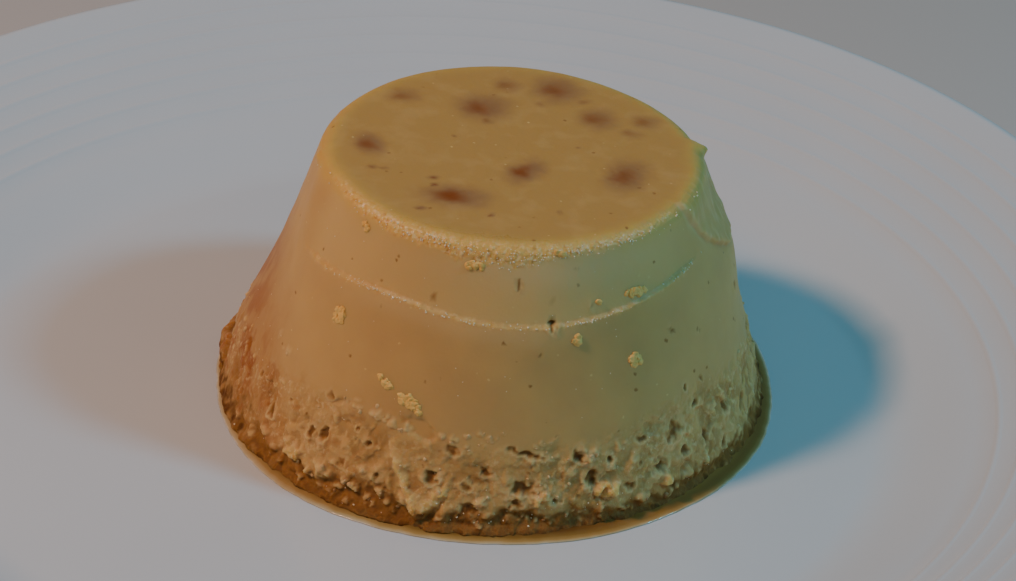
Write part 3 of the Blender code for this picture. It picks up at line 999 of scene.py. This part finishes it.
    def band_crag(self, place: Place, shaken: Vector) -> Crag:
        """The crumbs, strewn pits and eaten foot of the band.

        Args:
            place: The place, in the band.
            shaken: The fine unevenness there.

        Returns:
            The relief, and the shares of hollow (syrup dregs and painted shade), soak and pale curd.
        """
        azimuth, height, _, point = place
        share = self.band_share(azimuth, height)
        curd, grit = domes(point, 2.3), domes(point, 1.0)
        rough = smooth_step(-0.15, 0.35, cloud(point, 4.6))
        gritty = 0.16 * smooth_step(0.0, 2.0 * MM, height)
        broken = 0.34 * (curd - 0.4) + gritty * (grit - 0.4)
        swell = 0.26 * fine_cloud(point, 3.0, 0.8)
        calm = 1.0 - 0.6 * bell(turn_between(azimuth, -88.0), 22.0)
        relief = calm * share * (swell + (0.2 + 0.8 * rough) * broken) * MM
        busy = smooth_step(-0.1, 0.4, noise.noise(point / (5.5 * MM) + Vector((5.0, 0.0, 0.0))))
        busy *= 1.0 - 0.45 * self.front_share(azimuth)
        medium = share * busy * self.scattered_pit(point, 2.3, 0.06, 0.26)
        small = share * (0.3 + 0.7 * busy) * self.scattered_pit(point, 1.2, 0.04, 0.28)
        back = smooth_step(84.0, 98.0, abs(azimuth))
        big = share * back * self.scattered_pit(point, 3.8, 0.2, 0.28)
        relief -= 0.4 * MM * medium + 0.15 * MM * small + 0.9 * MM * big
        # Darker in the pits: syrup dregs and painted shade
        hollow = max(0.45 * medium, 0.25 * small, 0.7 * big)
        level = self.ceiling(place)
        eaten = 1.0 - smooth_step(level - 1.5 * MM, level + 0.5 * MM, height)
        eaten *= smooth_step(0.0, 1.2 * MM, height)
        heap = 0.65 * curd + 0.35 * grit
        foot = 1.0 - smooth_step(0.2 * MM, 2.4 * MM, height)
        right, far = smooth_step(-66.0, -54.0, azimuth), smooth_step(8.0, 30.0, azimuth)
        depth = 0.1 + 0.6 * right * (1.0 - 0.65 * far)
        flared = foot * (0.15 + 0.3 * curd) * (1.0 - 0.9 * far)
        relief += (eaten * depth * (0.5 * heap - 1.0) + flared) * MM
        # Darker in the eaten foot between heaps: syrup dregs and painted shade
        hollow = max(hollow, (0.8 - 0.4 * far) * eaten * (1.0 - heap) * right)
        cloudy = smooth_step(-0.5, 0.5, fine_cloud(point, 1.8, 0.8))
        soak = max(eaten, 0.9 * foot) * (0.2 + 0.8 * cloudy)
        soak *= 1.0 - 0.55 * smooth_step(0.35, 0.8, heap)
        low = 0.2 + 2.6 * bell(azimuth + 27.0, 12.0) + 2.6 * bell(azimuth + 67.0, 6.0)
        low += 0.8 * bell(azimuth + 46.0, 3.0)
        above = height + 1.2 * MM * shaken.z
        soak *= 1.0 - 0.75 * smooth_step(low * MM, (low + 3.2) * MM, above)
        pale = share * rough * smooth_step(0.35, 0.95, 0.5 * curd + 0.5 * grit)
        pale *= 0.5 * smooth_step(2.0 * MM, 5.0 * MM, height)
        return Crag(relief, hollow, soak, pale, 0.0, 0.0)

    def crag(self, place: Place) -> Crag:
        """Everything that is rough at a place on the side.

        Args:
            place: The place.

        Returns:
            The relief, and the shares of hollow (syrup dregs and painted shade), soak, pale curd
            (with a painted highlight on the lower lips of pits), bare lump and froth.
        """
        azimuth, height, radius, point = place
        shaken = noise.noise_vector(point / (1.3 * MM)) + 0.5 * noise.noise_vector(point / (0.5 * MM))
        moved = place._replace(azimuth=azimuth + math.degrees(0.55 * MM * shaken.x / radius),
                               height=height + 0.5 * MM * shaken.y)
        relief, hollow, soak, pale, spared = 0.0, 0.0, 0.0, 0.0, 0.0
        if self.band_share(azimuth, height) > 0.0:
            relief, hollow, soak, pale, spared, _ = self.band_crag(place, shaken)
        rim, froth = self.tongue(moved)
        relief += rim
        pale = max(pale, froth)
        near = min(BINS - 1, int((azimuth + 180.0) / BIN_TURN))
        torn = 0.5 * cloud(point, 0.7)
        for spot in PITS_NEAR[near]:
            distance = spot.distance(moved)
            if distance < REACH:
                distance = max(0.0, distance + torn)
                inside = 1.0 - smooth_step(0.2, 1.3, distance)
                edge = bell(distance - 1.35, 0.28)
                lower = smooth_step(spot.height + 0.4, spot.height - 0.4, height / MM)
                relief += (0.05 + 0.12 * lower) * MM * edge - 0.28 * spot.depth * MM * inside
                # The pit's inside: syrup dregs and painted shade
                hollow = max(hollow, min(0.8, 0.35 + 0.3 * spot.depth) * inside)
                # Painted highlight on the raised lower lip of the pit
                lit = (0.3 + 0.5 * lower) * min(1.0, spot.depth) * edge
                pale = max(pale * (1.0 - inside), lit)
        for spot in LUMPS_NEAR[near]:
            inside = 1.0 - smooth_step(0.35, 1.1, spot.distance(moved) + torn)
            relief += 0.8 * spot.depth * MM * inside * (1.0 + 0.35 * shaken.z)
            hollow *= 1.0 - 0.85 * inside
            spared = max(spared, 0.6 * inside)
            pale = max(pale, 0.75 * inside * min(1.0, 1.4 * spot.depth))
            froth = max(froth, inside * smooth_step(0.55, 1.0, spot.depth))
        bump = 0.0
        nudged = place._replace(azimuth=azimuth + 0.4 * shaken.y, height=height + 0.1 * MM * shaken.x)
        for spot in GRAINS_NEAR[near]:
            distance = spot.distance(nudged)
            if distance < 1.0:
                bump = max(bump, spot.depth * (1.0 - distance * distance))
        relief += 0.55 * MM * bump
        spared = max(spared, 0.5 * min(1.0, 2.5 * bump))
        hollow *= 1.0 - 0.6 * min(1.0, 2.5 * bump)
        pale = max(pale, min(0.6, 1.6 * bump))
        for spot in SPALLS:
            relief -= spot.depth * MM * (1.0 - smooth_step(0.8, 1.1, spot.distance(moved)))
        return Crag(relief, hollow, soak * (1.0 - spared), pale, spared, froth)

    def tongue(self, place: Place) -> tuple[float, float]:
        """The pointed tongue of firm custard over the hollows at the front.

        Args:
            place: The place.

        Returns:
            How far its raised edge stands out there, and how pale the edge is.
        """
        across = math.radians(turn_between(place.azimuth, -15.3)) * place.radius / MM
        if not -4.6 < across < 4.1:
            return 0.0, 0.0
        edge = 1.3 - 1.5 * across if across < 0.0 else 1.3 + 1.04 * across
        over = (place.height / MM - edge) * (0.55 if across < 0.0 else 0.7)
        ends = smooth_step(-4.6, -3.9, across) * (1.0 - smooth_step(3.3, 4.1, across))
        raised = bell(over - 0.45, 0.38)
        return ends * MM * (0.36 * raised - 0.6 * bell(over + 0.9, 0.5)), 0.9 * ends * raised

    def place(self, azimuth: float, height: float) -> Place:
        """A place on the plain side, before its panel, flap and crags.

        Args:
            azimuth: Its azimuth.
            height: Its height over the foot.

        Returns:
            The place, with its distance from the leaning axis.
        """
        share = height / self.height
        radius = self.foot_radius + (self.top_radius - self.foot_radius) * share
        for centre, level, spread, rise, size in self.swellings:
            near = bell(turn_between(azimuth, centre), spread)
            radius += size * MM * near * bell(height / MM - level, rise)
        angle = math.radians(azimuth)
        point = Vector((math.sin(angle) * radius, -math.cos(angle) * radius, height))
        return Place(azimuth, height, radius, point)

    def side(self, azimuth: float, height: float) -> tuple[float, Crag]:
        """The side as it really runs.

        Args:
            azimuth: Azimuth of the place.
            height: Height of the place.

        Returns:
            Distance from the leaning axis, and what the band is like there.
        """
        place = self.place(azimuth, height)
        wobble = 0.35 * MM * cloud(place.point, 16.0)
        ripple = 0.05 * MM * fine_cloud(place.point, 3.0)
        crag = self.crag(place)
        torn, pale, crease = self.flap(place)
        relief = wobble + ripple + self.panel(azimuth, height) + torn + crag.relief
        # The flap's crease adds painted shade to the hollow share
        pale, hollow = max(crag.pale, pale), max(crag.hollow, 0.08 * crease)
        return place.radius + relief, crag._replace(pale=pale, hollow=hollow)

    def point(self, azimuth: float, radius: float, height: float) -> Vector:
        """A point of the pudding.

        Args:
            azimuth: Its azimuth.
            radius: Its distance from the leaning axis.
            height: Its height over the foot.

        Returns:
            The point, in the frame of the whole.
        """
        angle = math.radians(azimuth)
        share = height / self.height
        shift = self.foot_shift + (self.top_shift - self.foot_shift) * share
        across = shift + radius * math.sin(angle)
        fall = self.top_slope * (across - self.top_shift) * smooth_step(0.4, 1.0, share)
        return Vector((
            self.x + across, self.y - radius * math.cos(angle), self.floor + height + fall
        ))

    def outward(self, point: Vector) -> Vector:
        """The level direction away from the pudding's middle at a point of it."""
        return Vector((point.x - self.x, point.y - self.y, 0.0)).normalized()


# --------------------------------------------------------------------- pudding piece

# How high the browning by caramel reaches up the side: azimuth and height in mm
SCORCHED = (
    (-130, 0), (-110, 24), (-96, 27), (-86, 24), (-76, 20), (-66, 16), (-58, 10), (-50, 5), (-40, 0),
)


def azimuth_of(corner: Vector) -> float:
    """Azimuth of a corner of a body drawn round the origin."""
    return math.degrees(math.atan2(corner.x, -corner.y))


@dataclass
class Pudding:
    """The pudding itself: a fine drum whose every corner is moved onto its form."""

    form: PuddingForm
    sides: int = 288
    row: float = 0.8 * MM
    rounding_steps: int = 4
    top_rings: int = 42
    finish: SetCream = SetCream("set_cream", 0.5, 1.4)

    def rows(self) -> list[tuple[float, float]]:
        """Reach, as a share of the side's radius, and height of every ring of the drum."""
        straight = self.form.height - self.form.rim_rounding
        count = round(straight / self.row)
        rows = [(1.0, straight * step / count) for step in range(count + 1)]
        rounding = self.form.rim_rounding / self.form.top_radius
        for step in range(1, self.rounding_steps + 1):
            turn = math.radians(90.0 * step / self.rounding_steps)
            reach = 1.0 - rounding * (1.0 - math.cos(turn))
            rows.append((reach, straight + self.form.rim_rounding * math.sin(turn)))
        for ring in range(self.top_rings - 1, -1, -1):
            rows.append(((1.0 - rounding) * ring / self.top_rings, self.form.height))
        return rows

    def is_at_edge(self, azimuth: float, height: float) -> bool:
        """Whether a place of the drum lies by the front of the ledge or of the rim."""
        at_ledge = abs(height - self.form.ledge(azimuth)) < 0.7 * MM
        return abs(azimuth) < 76.0 and (at_ledge or 34.4 * MM < height < 37.2 * MM)

    def is_busy(self, centre: Vector) -> bool:
        """Whether a face of the drum lies where the side has small detail."""
        azimuth, height = azimuth_of(centre), centre.z
        at_flap = 60.0 < azimuth < 108.0 and height > 24.5 * MM
        return height < 15.0 * MM or at_flap or self.is_at_edge(azimuth, height)

    def is_pitted(self, centre: Vector) -> bool:
        """Whether a face of the drum lies on the front of the band, at an edge or on a pit."""
        azimuth, height = azimuth_of(centre), centre.z
        if height > 37.25 * MM:
            return False
        if abs(azimuth) < 92.0 and height < 13.6 * MM or self.is_at_edge(azimuth, height):
            return True
        at_fold = 60.0 < azimuth < 108.0 and abs(self.form.over_flap_edge(azimuth, height)) < 1.2
        place = self.form.place(azimuth, height)
        return at_fold or any(spot.distance(place) < 1.45 for spot in PITS)

    def stain_shares(self, point: Vector) -> tuple[float, float]:
        """How stained the top face is.

        Args:
            point: A point of the pudding.

        Returns:
            The share of the dark core and the share of the paler halo.
        """
        x = (point.x - self.form.x - self.form.top_shift) / MM
        y = (point.y - self.form.y) / MM
        bent = noise.noise_vector(Vector((x, y, 0.0)) / 2.2)
        finer = noise.noise_vector(Vector((x, y, 4.0)) / 0.7)
        core, halo = 0.0, 0.0
        for centre_x, centre_y, width, length, turn, strength in STAINS:
            spread = min(0.35 * (width + length), 1.4)
            across = x - centre_x + spread * 0.5 * bent.x + 0.25 * spread * finer.x
            along = y - centre_y + spread * 0.5 * bent.y + 0.25 * spread * finer.y
            u, v = turned(across, along, turn)
            distance = math.hypot(2.0 * u / width, 2.0 * v / length)
            inner = math.hypot(2.0 * u / width + 0.25, 2.0 * v / length + 0.1)
            core = max(core, strength * (1.0 - smooth_step(0.0, 1.1, inner)))
            halo = max(halo, min(1.0, 1.3 * strength) * (1.0 - smooth_step(0.5, 2.2, distance)))
        return core, halo

    @staticmethod
    def scorch_share(azimuth: float, height: float, point: Vector) -> float:
        """How much a place of the side is browned by caramel.

        Args:
            azimuth: Azimuth of the place.
            height: Height of the place.
            point: The point itself.

        Returns:
            The share, from 0 to 1.
        """
        top = between(azimuth, SCORCHED)
        uneven = fine_cloud(Vector((point.x, point.y, 0.4 * point.z)), 2.6)
        left = smooth_step(6.0, -8.0, height / MM - top + 4.0 * uneven) * min(1.0, top / 6.0)
        left *= 0.5 + 0.45 * smooth_step(-0.3, 0.4, uneven)
        runs = smooth_step(0.28, 0.5, fine_cloud(point, 3.1))
        low = smooth_step(16.0 * MM, 10.0 * MM, height) * smooth_step(-8.0, -30.0, azimuth)
        return min(1.0, 0.85 * left + 0.35 * low * runs)

    def shape_corner(self, corner: bpy.types.MeshVertex) -> dict[str, float]:
        """Move a corner of the drum onto the form.

        Args:
            corner: The corner.

        Returns:
            What its finish is to read there: a number for every one of SHARES.
        """
        form, azimuth, height = self.form, azimuth_of(corner.co), corner.co.z
        reach = corner.co.xy.length
        radius, crag = form.side(azimuth, height)
        top = smooth_step(0.985, 0.95, reach)
        corner.co = form.point(azimuth, reach * radius, height)
        corner.co.z += top * (0.03 * MM * fine_cloud(corner.co, 1.6, 0.9, 2))
        core, halo = self.stain_shares(corner.co) if top > 0.0 else (0.0, 0.0)
        edge = math.hypot((1.0 - reach) * form.top_radius, form.height - height)
        down = 0.8 + 0.9 * bell(azimuth + 22.0, 20.0) + 1.3 * bell(azimuth, 12.0)
        down *= (1.0 + 0.4 * cloud(corner.co, 1.3)) * MM
        along = form.across_panel(azimuth)
        frothy = smooth_step(0.0, 0.5 * MM, edge) * along
        frothy *= smooth_step(down + 0.4 * MM, down - 0.3 * MM, edge)
        lined = bell(height - form.ledge(azimuth), 0.3 * MM) * along
        lined *= 0.3 + 0.7 * smooth_step(-0.15, 0.35, noise.noise(Vector((azimuth / 2.5, 3.0, 0.0))))
        froth = fine_cloud(corner.co, 0.5, 0.6, 2) * max(frothy, 0.6 * lined)
        corner.co += 0.14 * MM * froth * form.outward(corner.co)
        uneven = cloud(corner.co, 1.4)
        band = form.band_share(azimuth, height)
        wicked = height / MM + 1.4 * fine_cloud(corner.co, 3.0)
        drunk = smooth_step(2.7, 1.0, wicked + 1.6 * (domes(corner.co, 2.6) - 0.4))
        over = smooth_step(-0.3 * MM, 0.6 * MM, height - form.ledge(azimuth))
        paler = 0.5 + 0.35 * bell(azimuth - 18.0, 30.0) - 0.25 * smooth_step(35.0, 60.0, azimuth)
        cloudy = 0.3 + 0.7 * smooth_step(-0.4, 0.25, cloud(corner.co, 1.3))
        drunk *= cloudy * (1.0 - 0.85 * crag.spared)
        damp = (1.3 + 1.2 * bell(azimuth + 42.0, 12.0)) * MM
        dark = 0.9 * smooth_step(damp, damp - 0.9 * MM, height) * smooth_step(-62.0, -44.0, azimuth)
        dark *= smooth_step(60.0, 30.0, azimuth) * (1.0 - 0.4 * crag.spared)
        milky = 0.9 * bell(height / MM - 34.2, 2.0) * bell(azimuth - 12.0, 20.0)
        under = (height - form.ledge(azimuth)) / MM + 1.0
        milky = max(milky, 0.4 * bell(under, 1.0) * smooth_step(45.0, 15.0, abs(azimuth + 10.0)))
        low = smooth_step(3.4 * MM, 1.2 * MM, height) * smooth_step(-76.0, -60.0, azimuth)
        # Painted shade in the gaps between the low lumps round the front of the foot
        shaded_gap = low * smooth_step(0.5, 0.15, domes(corner.co, 1.5)) * form.front_share(azimuth)
        crumbly = 0.45 + 0.55 * smooth_step(-0.2, 0.3, cloud(corner.co, 3.4))
        beside = 1.0 - top
        return {
            "top": top,
            "panel": beside * paler * over * along,
            "rim": 0.8 * bell(edge - 0.4 * MM, 1.1 * MM) * (0.8 + 0.4 * uneven),
            "stain": core,
            "halo": halo * 0.7,
            "scorch": self.scorch_share(azimuth, height, corner.co),
            "soak": max(drunk, 0.85 * crag.soak, dark),
            "pale": beside * max(crag.pale, 0.5 * froth, milky),
            # hollow: darker in pits, creases and gaps, partly syrup dregs and partly painted shade
            "hollow": beside * max(crag.hollow, 0.7 * shaded_gap * (1.0 - crag.spared)),
            "grain": max(0.7 * frothy, 0.7 * lined, 0.9 * band * crumbly),
            "crumb": band * crumbly,
            "froth": beside * max(0.85 * frothy, 0.6 * lined, crag.froth),
            "wet": max(0.75 * frothy, 0.5 * lined, 0.6 * crag.froth),
        }

    def build(self) -> Piece:
        """Shape and dress the pudding.

        Returns:
            The pudding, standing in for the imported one.
        """
        pudding = extruded_rings(self.rows(), self.sides)
        close_bottom()
        cut_finer(pudding, self.is_busy)
        cut_finer(pudding, self.is_pitted)
        faces_outward(pudding)
        corners = [self.shape_corner(corner) for corner in pudding.data.vertices]
        for name in SHARES:
            paint(pudding.data, name, (corner[name] for corner in corners))
        settle(pudding, "panna_cotta_dressed")
        pudding.data.materials.append(self.finish.make())
        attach(pudding, "root")
        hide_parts("panna_cotta")
        return pudding


# ----------------------------------------------------------------------------- syrup


@dataclass
class SyrupPool:
    """The thin pool that stands round the foot, closed under the pudding's edge."""

    form: PuddingForm
    radius: float = 40.1 * MM
    least_width: float = 0.6 * MM
    drawn_in: float = 1.3 * MM
    tucked_in: float = 3.4 * MM
    depth: float = 0.9 * MM
    sunk: float = 0.29 * MM
    sides: int = 360
    steps: int = 12
    finish: CaramelSyrup = CaramelSyrup("caramel_syrup", 0.08, 1.47)

    def edge(self, azimuth: float) -> float:
        """Outer edge of the pool, about the axis of the foot, at an azimuth."""
        angle = math.radians(azimuth)
        ripple = 0.3 * MM * noise.noise(Vector((math.sin(angle), math.cos(angle), 0.5)) * 3.0)
        around = self.radius - self.form.foot_shift * math.sin(angle) + ripple
        around -= self.drawn_in * bell(turn_between(azimuth, 92.0), 24.0)
        foot = self.form.place(azimuth, 0.0)
        wobble = 0.35 * MM * cloud(foot.point, 16.0)
        fine = 0.12 * MM * noise.noise(Vector((math.sin(angle), math.cos(angle), 2.0)) * 22.0)
        return max(around, foot.radius + wobble + self.least_width) + fine

    def shape_corner(self, corner: bpy.types.MeshVertex) -> tuple[float, float]:
        """Move a corner of the drawn ring, which is 1 m wide, into the pool.

        Args:
            corner: The corner.

        Returns:
            How much of a thin film the pool is there, and how much light comes through it.
        """
        azimuth, height = azimuth_of(corner.co), corner.co.z
        share = max(0.0, corner.co.xy.length - 1.0) ** 0.75
        inner = self.form.place(azimuth, 0.0).radius - self.tucked_in
        width = self.edge(azimuth) - inner
        corner.co = self.form.point(azimuth, inner + share * width, 0.0)
        corner.co.z = self.form.floor - self.sunk + height
        fade = 3.0 + 1.6 * bell(turn_between(azimuth, -54.0), 30.0)
        fade -= 0.8 * bell(turn_between(azimuth, 70.0), 30.0)
        film = min(1.0, max(0.0, 1.0 - (1.0 - share) * width / (fade * MM)))
        # Painted light: the pool is lighter on the right, where light comes through it from behind
        behind = smooth_step(12.0, 38.0, azimuth) * smooth_step(150.0, 120.0, azimuth)
        return film, behind * (1.0 - film)

    def build(self) -> Piece:
        """Draw the pool's section round the foot and dress it.

        Returns:
            The pool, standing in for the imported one.
        """
        rings = [(1.0, 0.0), (2.0, 0.0)]
        for step in range(1, self.steps + 1):
            share = step / self.steps
            rings.append((2.0 - share, self.depth * (1.0 - (1.0 - share ** 1.3) ** 1.5)))
        pool = extruded_rings(rings, self.sides)
        with edit_mode("EDGE", "DESELECT"):
            bpy.ops.mesh.select_non_manifold()
            bpy.ops.mesh.bridge_edge_loops()
        faces_outward(pool)
        film, lit = zip(*[self.shape_corner(corner) for corner in pool.data.vertices])
        paint(pool.data, "film", film)
        paint(pool.data, "lit", lit)
        settle(pool, "syrup_pool")
        pool.data.materials.append(self.finish.make())
        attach(pool, "root")
        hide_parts("syrup")
        return pool


# ------------------------------------------------------------------- crumbs and beads


@dataclass
class Granules:
    """Small bodies set on the pudding's side, all in one piece."""

    form: PuddingForm
    name: str
    seed: int
    finish: Curd | WetBeadAndGlint
    fineness: int = 2
    roughness: float = 0.5
    grain: float = 0.7
    flatness: float = 0.0
    placed: list[tuple[Vector, float, Vector]] = field(default_factory=list)

    def __post_init__(self) -> None:
        """Start the piece's own run of chance."""
        self.chance = random.Random(self.seed)

    def add(self, azimuth: float, height: float, size: float, out: float) -> None:
        """Set one body on the side.

        Args:
            azimuth: Its azimuth.
            height: Its height over the foot, in mm.
            size: Its radius, in mm.
            out: How far its middle stands out of the surface, as a share of its radius.
        """
        spread = Vector(tuple(self.chance.uniform(0.75, 1.2) for _ in range(3)))
        radius, _ = self.form.side(azimuth, height * MM)
        point = self.form.point(azimuth, radius + size * MM * out, height * MM)
        self.placed.append((point, size * MM, spread))

    def strew_flecks(self) -> None:
        """Set the flecks of curd, each a clump of a few rough lumps."""
        chance = self.chance
        for fleck in FLECKS:
            radius = self.form.place(fleck.azimuth, fleck.height * MM).radius / MM
            for _ in range(max(5, round(fleck.width * fleck.rise * 5.5))):
                out, way = chance.random() ** 0.7, chance.uniform(0.0, math.tau)
                along = 0.45 * fleck.width * out * math.cos(way)
                beside = 0.45 * fleck.rise * out * math.sin(way)
                across, up = turned(along, beside, -fleck.slant)
                size = chance.uniform(0.25, 0.5) * (0.85 + 0.5 * fleck.depth)
                self.add(fleck.azimuth + math.degrees(across / radius), fleck.height + up, size, -0.1)

    def strew_crumbs(self) -> None:
        """Set the loose crumbs of the band, in little groups."""
        chance = self.chance
        for azimuth, height, size, _ in CRUMBS:
            beside, over = chance.gauss(0.0, 0.7 * size), chance.gauss(0.0, 0.6 * size)
            self.add(azimuth + 1.6 * beside, height + over, size * chance.uniform(0.35, 0.7), -0.5)
        for _ in range(40):
            azimuth, height = chance.uniform(75.0, 285.0), 12.8 - abs(chance.gauss(0.0, 4.0))
            self.add(azimuth, max(1.2, height), chance.uniform(0.15, 0.4), -0.4)

    def strew_beads(self) -> None:
        """Set beads and fine bubbles on the ledge and rim, and painted glint dots on foot and side."""
        chance = self.chance
        for middle, spread, count in ((-36, 9, 45), (-8, 12, 40), (22, 5, 35), (58, 3, 22)):
            for _ in range(count):
                azimuth = chance.gauss(middle, spread)
                height = self.form.ledge(azimuth) / MM + chance.gauss(-0.05, 0.16)
                self.add(azimuth, height, chance.uniform(0.06, 0.15), -0.2)
        for _ in range(260):
            azimuth = chance.gauss(2.0, 28.0)
            height = chance.gauss(36.35, 0.4) - abs(chance.gauss(0.0, 1.0)) * bell(azimuth, 9.0)
            self.add(azimuth, min(height, 36.95), chance.uniform(0.05, 0.15), -0.3)
        # Pale dots on the wet foot, standing in for glints: painted highlights
        for _ in range(50):
            azimuth, height = chance.gauss(-6.0, 24.0), abs(chance.gauss(0.0, 2.4)) + 0.6
            self.add(azimuth, height, chance.uniform(0.06, 0.15), -0.5)
        # Pale dots over the side, standing in for glints: painted highlights
        for _ in range(60):
            azimuth, height = chance.uniform(-92.0, 40.0), chance.uniform(8.0, 34.0)
            self.add(azimuth, height, chance.uniform(0.05, 0.1), -0.4)

    def build(self) -> Piece:
        """Model every body that was set, and dress the piece.

        Returns:
            The piece.
        """
        deselect_all()
        centre, size, _ = self.placed[0]
        bpy.ops.mesh.primitive_ico_sphere_add(subdivisions=self.fineness, radius=size, location=centre)
        piece = settle(bpy.context.object, self.name)
        bpy.ops.object.mode_set(mode="EDIT")
        for centre, size, spread in self.placed[1:]:
            turns = tuple(self.chance.uniform(0.0, math.tau) for _ in range(3))
            bpy.ops.mesh.primitive_ico_sphere_add(
                subdivisions=self.fineness, radius=size, location=centre, rotation=turns, scale=spread
            )
        bpy.ops.object.mode_set(mode="OBJECT")
        corners = piece.data.vertices
        per_body = len(corners) // len(self.placed)
        for number, corner in enumerate(corners):
            centre, size, _ = self.placed[number // per_body]
            outward = self.form.outward(centre)
            corner.co += self.roughness * size * noise.noise_vector(corner.co / (self.grain * size))
            corner.co -= self.flatness * (corner.co - centre).dot(outward) * outward
        heights = (corner.co.z - self.form.floor for corner in corners)
        paint(piece.data, "soak", (0.75 * smooth_step(4.0 * MM, 0.8 * MM, z) for z in heights))
        settle(piece, self.name)
        piece.data.materials.append(self.finish.make())
        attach(piece, "root")
        return piece


# -------------------------------------------------------------------- stage and light


class Side(Enum):
    """The two soft lights, each with its tint."""

    WARM = (1.0, 0.6, 0.46)
    COOL = (0.2, 0.667, 1.0)


@dataclass(frozen=True)
class Softbox:
    """A square soft light aimed at the pudding."""

    side: Side
    azimuth: float
    elevation: float
    distance: float
    size: float
    watts: float

    def build(self, aim: Vector) -> Piece:
        """Place the light.

        Args:
            aim: The point it shines at.

        Returns:
            The light.
        """
        lamp = bpy.data.lights.new(f"softbox_{self.side.name.lower()}", "AREA")
        lamp.energy, lamp.color, lamp.size = self.watts, self.side.value, self.size
        turn, climb = math.radians(self.azimuth), math.radians(self.elevation)
        way = Vector((
            math.sin(turn) * math.cos(climb), -math.cos(turn) * math.cos(climb), math.sin(climb)
        ))
        light = bpy.data.objects.new(lamp.name, lamp)
        light.location = aim + self.distance * way
        light.rotation_euler = way.to_track_quat("Z", "Y").to_euler()
        bpy.context.collection.objects.link(light)
        return light


@dataclass(frozen=True)
class Studio:
    """Floor, lights, surroundings and camera."""

    form: PuddingForm
    surroundings: str = "#A2EFFF"
    strength: float = 0.09
    softboxes: tuple[Softbox, ...] = (
        Softbox(Side.WARM, -76.0, 52.0, 0.65, 0.08, 2.5),
        Softbox(Side.COOL, 77.0, 42.0, 0.65, 0.08, 1.56),
    )
    camera_place: tuple[float, float, float] = (0.0119, -0.4103, 0.2740)
    camera_target: tuple[float, float, float] = (0.01293, 0.03045, 0.0065)
    camera_roll: float = 1.487
    lens: float = 123.04

    def build_floor(self) -> Piece:
        """Lay the plain floor and return it."""
        deselect_all()
        bpy.ops.mesh.primitive_plane_add(size=6.0)
        floor = settle(bpy.context.object, "floor")
        floor.data.materials.append(FloorPaint("floor_paint", 0.7).make())
        return floor

    def build_lights(self) -> None:
        """Hang the lights and set the surroundings."""
        aim = Vector((self.form.x, self.form.y, self.form.floor + 0.5 * self.form.height))
        for softbox in self.softboxes:
            softbox.build(aim)
        world = bpy.data.worlds.new("surroundings")
        world.use_nodes = True
        backdrop = world.node_tree.nodes["Background"]
        fill(backdrop, {"Color": self.surroundings, "Strength": self.strength})
        bpy.context.scene.world = world

    def build_camera(self) -> Piece:
        """Set the camera up and return it."""
        forward = (Vector(self.camera_target) - Vector(self.camera_place)).normalized()
        right = forward.cross(Vector((0.0, 0.0, 1.0))).normalized()
        up = right.cross(forward)
        roll = math.radians(self.camera_roll)
        axes = (
            math.cos(roll) * right + math.sin(roll) * up,
            math.cos(roll) * up - math.sin(roll) * right,
            -forward,
        )
        camera = bpy.data.objects.new("camera", bpy.data.cameras.new("camera"))
        camera.matrix_world = (
            Matrix.Translation(self.camera_place) @ Matrix(axes).transposed().to_4x4()
        )
        camera.data.lens = self.lens
        bpy.context.collection.objects.link(camera)
        bpy.context.scene.camera = camera
        return camera


def main() -> None:
    """Build every piece in order, then the floor, the lights and the camera."""
    logging.basicConfig(level=logging.INFO, format="%(name)s: %(message)s")
    noise.seed_set(NOISE_SEED)
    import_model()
    form = PuddingForm()
    low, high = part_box("plate")
    plate = DessertPlate(radius=(high[0] - low[0]) / 2, height=high[2] - low[2]).build()
    pieces = [plate, Pudding(form).build(), SyrupPool(form).build()]
    flecks = Granules(form, "curd_flecks", 11, Curd("curd_fleck", 0.6, 1.4), 3, 0.45, 0.8, 0.4)
    flecks.strew_flecks()
    crumb = Curd("curd_crumb", 0.5, 1.4, dry="#EFD096", deep="#DEB678")
    crumbs = Granules(form, "curd_crumbs", 17, crumb, roughness=0.6, grain=0.9)
    crumbs.strew_crumbs()
    beads = Granules(form, "wet_beads_and_glints", 23, WetBeadAndGlint("froth", 0.08, 1.4), roughness=0.15, grain=2.0)
    beads.strew_beads()
    pieces += [flecks.build(), crumbs.build(), beads.build()]
    for piece in pieces:
        LOG.info("%s: %d corners, %d faces", piece.name, len(piece.data.vertices),
                 len(piece.data.polygons))
    studio = Studio(form)
    studio.build_floor()
    studio.build_lights()
    studio.build_camera()


if __name__ == "__main__":
    main()
